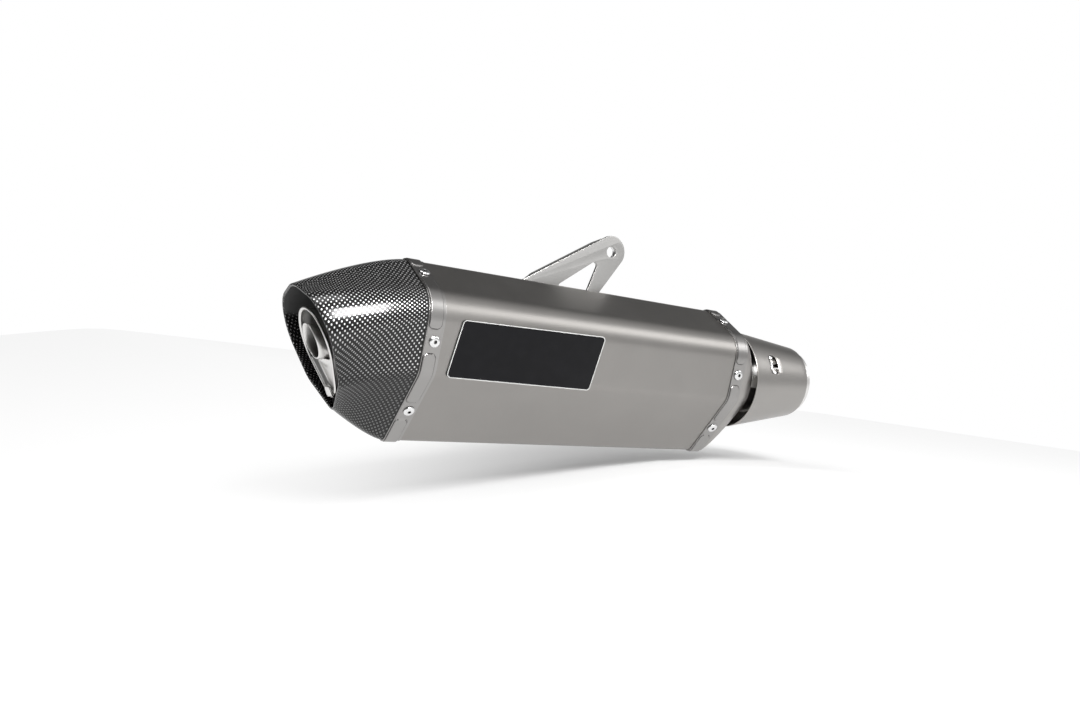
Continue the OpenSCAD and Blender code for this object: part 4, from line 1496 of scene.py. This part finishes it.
@dataclass
class Studio:
    """Pale floor, soft lights and the camera."""

    contact: Vector = field(default_factory=lambda: Vector((-0.10, 0.0, -0.0685)))
    under_crown_sheen: float = 0.225
    eye: Vector = field(default_factory=lambda: Vector((-0.70425858, -0.75719421, -0.00880585)))
    azimuth: float = 31.2
    roll: float = 7.4
    lens: float = 40.0

    def camera(self) -> None:
        """Stands the camera at the viewing angle, level and rolled."""
        turn = math.radians(self.azimuth)
        back = Vector((-math.sin(turn), -math.cos(turn), 0))
        right = Vector((math.cos(turn), -math.sin(turn), 0))
        up = Vector((0, 0, 1))
        tilt = Matrix.Rotation(math.radians(self.roll), 3, back)
        axes = Matrix((tilt @ right, tilt @ up, back)).transposed().to_4x4()
        lens = bpy.data.cameras.new("studio_camera")
        lens.lens, lens.sensor_width, lens.clip_start = self.lens, 36.0, 0.01
        camera = bpy.data.objects.new("studio_camera", lens)
        camera.matrix_world = Matrix.Translation(self.eye) @ axes
        bpy.context.scene.collection.objects.link(camera)
        bpy.context.scene.camera = camera

    def floor(self) -> None:
        """Lays a wide pale sweep, level under the inlet and falling away under the tail."""
        size, steps, bend = 2.4, 120, 0.05
        rings = []
        for k in range(steps + 1):
            x = -size + 2 * size * k / steps
            drop = self.under_crown_sheen * 0.5 * ((x - self.contact.x) - math.hypot(x - self.contact.x, bend))
            rings.append([Vector((x, y, self.contact.z + drop)) for y in (-size, size)])
        faces = [(2 * k, 2 * k + 1, 2 * k + 3, 2 * k + 2) for k in range(steps)]
        mesh = bpy.data.meshes.new("floor")
        mesh.from_pydata([p for ring in rings for p in ring], [], faces)
        floor = shown("floor", mesh)
        bench = Bench("pale_floor")
        where = bench.place()
        fleck = bench.noise(where, 3.0)
        spot = tuple(self.contact / MM)
        far = bench.node("ShaderNodeVectorMath", {"operation": "DISTANCE"}, {0: where, 1: spot}, "Value")
        away = far.step(60.0, 340.0)
        tone = away.between((0.54, 0.54, 0.54), (0.13, 0.13, 0.13)) * (0.98 + fleck * 0.04)
        glow = away.between((0.26, 0.26, 0.26), (0.86, 0.86, 0.86))
        finish = bench.finish(Base_Color=tone, Roughness=0.9, Emission_Color=glow, Emission_Strength=1.0)
        mesh.materials.append(finish)
        floor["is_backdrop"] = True

    def light(self, name: str, toward: Vector, distance: float, size: tuple[float, float], power: float) -> None:
        """Hangs one soft box.

        Args:
            name: Its name.
            toward: Direction from the silencer to the light.
            distance: How far away it is.
            size: Width and height.
            power: Watts.
        """
        lamp = bpy.data.lights.new(name, "AREA")
        lamp.shape, lamp.size, lamp.size_y, lamp.energy = "RECTANGLE", *size, power
        box = bpy.data.objects.new(name, lamp)
        middle = (CAD_BOX[0] + CAD_BOX[1]) / 2
        way = toward.normalized()
        box.matrix_world = frame_of(middle + way * distance, way, Vector((1, 0, 0.001)))
        bpy.context.scene.collection.objects.link(box)

    def sky(self) -> None:
        """Fills the room: white behind, grey in reflections and darker high behind the silencer."""
        world = bpy.data.worlds.new("room")
        world.use_nodes = True
        tree = world.node_tree
        tree.nodes.clear()
        bench = Bench.__new__(Bench)
        bench.tree = tree
        way = bench.node("ShaderNodeTexCoord", {}, {}, "Generated")
        ahead, aside, height = (bench.part(way, axis) for axis in range(3))
        dark = height.step(0.2, 0.6) * aside.step(-0.1, 0.35)
        room = (ahead.step(-0.25, 0.45) * 0.50 + 0.10) * (1 - dark * 0.82)
        seen = bench.node("ShaderNodeLightPath", {}, {}, "Is Camera Ray")
        strength = seen * 1.0 + (1 - seen) * room
        out = tree.nodes.new("ShaderNodeOutputWorld")
        glow = tree.nodes.new("ShaderNodeBackground")
        glow.inputs["Color"].default_value = (1, 1, 1, 1)
        tree.links.new(strength.socket, glow.inputs["Strength"])
        tree.links.new(glow.outputs[0], out.inputs["Surface"])
        bpy.context.scene.world = world

    def build(self) -> None:
        """Sets up the studio."""
        self.camera()
        self.floor()
        self.sky()
        for name, toward, distance, size, power in SOFT_BOXES:
            self.light(name, Vector(toward), distance, size, power)
        bpy.context.scene.view_settings.view_transform = "Standard"


# ---------------------------------------------------------------- the whole

# Where each strap starts, its width and the x of its rivets
STRAPS = {"rear": (0.0, 13.0, 7.54), "front": (266.0, 12.0, 272.0)}


@dataclass
class Finishes:
    """Every finish, made once."""

    carbon: bpy.types.Material = field(init=False)

    def __post_init__(self) -> None:
        """Makes the materials."""
        self.carbon = CarbonWeave("carbon_cloth").material()
        self.sleeve = SatinMetal("sleeve_sheet", (0.300, 0.289, 0.277), 0.34, Grain.ROUND, 0.8, 0.002).material()
        self.strap = SatinMetal("strap_sheet", (0.34, 0.332, 0.325), 0.30, Grain.NONE, 0.7, 0.001).material()
        self.cap = SatinMetal("cap_sheet", (0.37, 0.357, 0.343), 0.33, Grain.NONE, 0.9).material()
        self.bright = SatinMetal("bright_steel", (0.74, 0.73, 0.715), 0.30, Grain.NONE, 0.8, 0.0008, 0.012).material()
        self.inner = SatinMetal("inner_steel", (0.55, 0.54, 0.52), 0.36, Grain.ALONG, 0.6).material()
        self.rivet = SatinMetal("rivet_steel", (0.78, 0.78, 0.78), 0.20, Grain.NONE, 0.4, 0.0006, 0.01).material()
        self.bolt = SatinMetal("bolt_steel", (0.74, 0.74, 0.75), 0.24, Grain.NONE, 0.3).material()
        self.bracket = SatinMetal("bracket_sheet", (0.47, 0.465, 0.455), 0.38, Grain.NONE, 0.45, 0.006).material()
        self.screw = BlackOxide("black_screw").material()
        self.wool = PackedWool("packed_wool").material()
        self.enamel = {
            "plate": Enamel("badge_black", (0.007, 0.007, 0.008), 0.12).material(),
            "edge": Enamel("badge_silver", (0.55, 0.55, 0.54)).material(),
        }


class Silencer:
    """Builds every piece in order."""

    def __init__(self) -> None:
        """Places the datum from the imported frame."""
        self.datum = Datum(-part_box("rear_strap")[0].x / MM)
        self.form = SleeveForm(self.datum)
        self.finish = Finishes()
        self.cap = EndCap(self.form)
        self.outlet = Outlet(self.cap)

    def _dress(self, piece: bpy.types.Object, finish: bpy.types.Material, slot: str, *nodes: str) -> None:
        """Dresses a piece that rides on the silencer and reports it."""
        dress(piece, finish, slot, "silencer", *nodes)
        LOG.info("%s: %d faces", piece.name, len(piece.data.polygons))

    def shells(self) -> None:
        """Sleeve, straps and caps."""
        finish = self.finish
        self._dress(OuterSleeve(self.form).build(), finish.sleeve, "sleeve_titanium", "outer_sleeve")
        for name, (from_x, width, _) in STRAPS.items():
            strap = Strap(self.form, f"{name}_strap_band", from_x, width)
            self._dress(strap.build(), finish.strap, "strap_titanium", f"{name}_strap")
        self._dress(self.cap.build(), finish.carbon, "carbon", "carbon_end_cap")
        self._dress(FrontCap(self.form).build(), finish.cap, "cap_titanium", "front_cap")
        self._dress(HeatShield(self.datum).build(), finish.cap, "cap_titanium", "inlet_shield")

    def rivets(self) -> None:
        """The six rivets of each strap."""
        rivet = BlindRivet()
        for name, (_, _, x) in STRAPS.items():
            pieces = []
            for side in (-1, 1):
                for i, share in enumerate(RIVET_SHARES):
                    seat = self.form.spot(x, i, share, side) @ Matrix.Translation((0, 0, -0.55 * MM))
                    pieces.append(rivet.skin(f"{name}_rivet", seat).build())
            self._dress(joined(f"{name}_rivet_set", pieces), self.finish.rivet, "rivet_steel", f"{name}_rivets")

    def tail(self) -> None:
        """Outlet pipe and the insert in it."""
        bright = self.finish.bright
        self._dress(self.outlet.build(), bright, "bright_steel", "outlet_pipe")
        insert = NoiseInsert(self.outlet).build()
        dress(insert, bright, "bright_steel", "insert", "noise_insert")
        LOG.info("%s: %d faces", insert.name, len(insert.data.polygons))

    def hanger(self) -> None:
        """Bracket, boss and foot rivets."""
        hanger = HangerBracket(self.form)
        self._dress(hanger.build(), self.finish.bracket, "bracket_metal", "mount_bracket")
        self._dress(hanger.boss().build(), self.finish.rivet, "rivet_steel", "bracket_boss")
        rivet = BlindRivet(sunk=2.0)
        pieces = [rivet.skin("foot_rivet", spot).build() for spot in hanger.rivet_spots()]
        self._dress(joined("foot_rivet_set", pieces), self.finish.rivet, "rivet_steel", "bracket_rivets")

    def badge(self) -> None:
        """Badge plate with its edge."""
        for i, (kind, piece) in enumerate(BadgePlate(self.form).build()):
            nodes = () if i else ("badge_plate",)
            self._dress(piece, self.finish.enamel[kind], "badge", *nodes)

    def carried(self) -> None:
        """Finishes for the frame's own pieces that stay."""
        finish = self.finish
        dressed = {
            "inlet_pipe": finish.bright, "shield_stays": finish.inner, "clamp_band": finish.inner,
            "clamp_bolt": finish.bolt, "clamp_nut": finish.bolt, "perforated_core": finish.inner,
            "wool_packing": finish.wool, "front_inner_plate": finish.inner,
            "rear_inner_plate": finish.inner, "insert_screw": finish.screw, "screw_boss": finish.inner,
        }
        for name, material in dressed.items():
            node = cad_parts[name]
            node.data.materials.clear()
            node.data.materials.append(material)
            LOG.info("%s: %s", name, material.name)

    def build(self) -> None:
        """Builds the silencer."""
        for step in (self.shells, self.rivets, self.tail, self.hanger, self.badge, self.carried):
            step()


def write_sizes() -> None:
    """Works out the frame's box and the dressed model's box, but writes them nowhere."""
    boxes = {"cad": CAD_BOX, "visual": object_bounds()}
    plain = {name: [list(corner) for corner in box] for name, box in boxes.items()}


def main() -> None:
    """Builds the silencer and its studio."""
    logging.basicConfig(level=logging.INFO, format="%(name)s: %(message)s")
    Silencer().build()
    Studio().build()
    write_sizes()


if __name__ == "__main__":
    main()
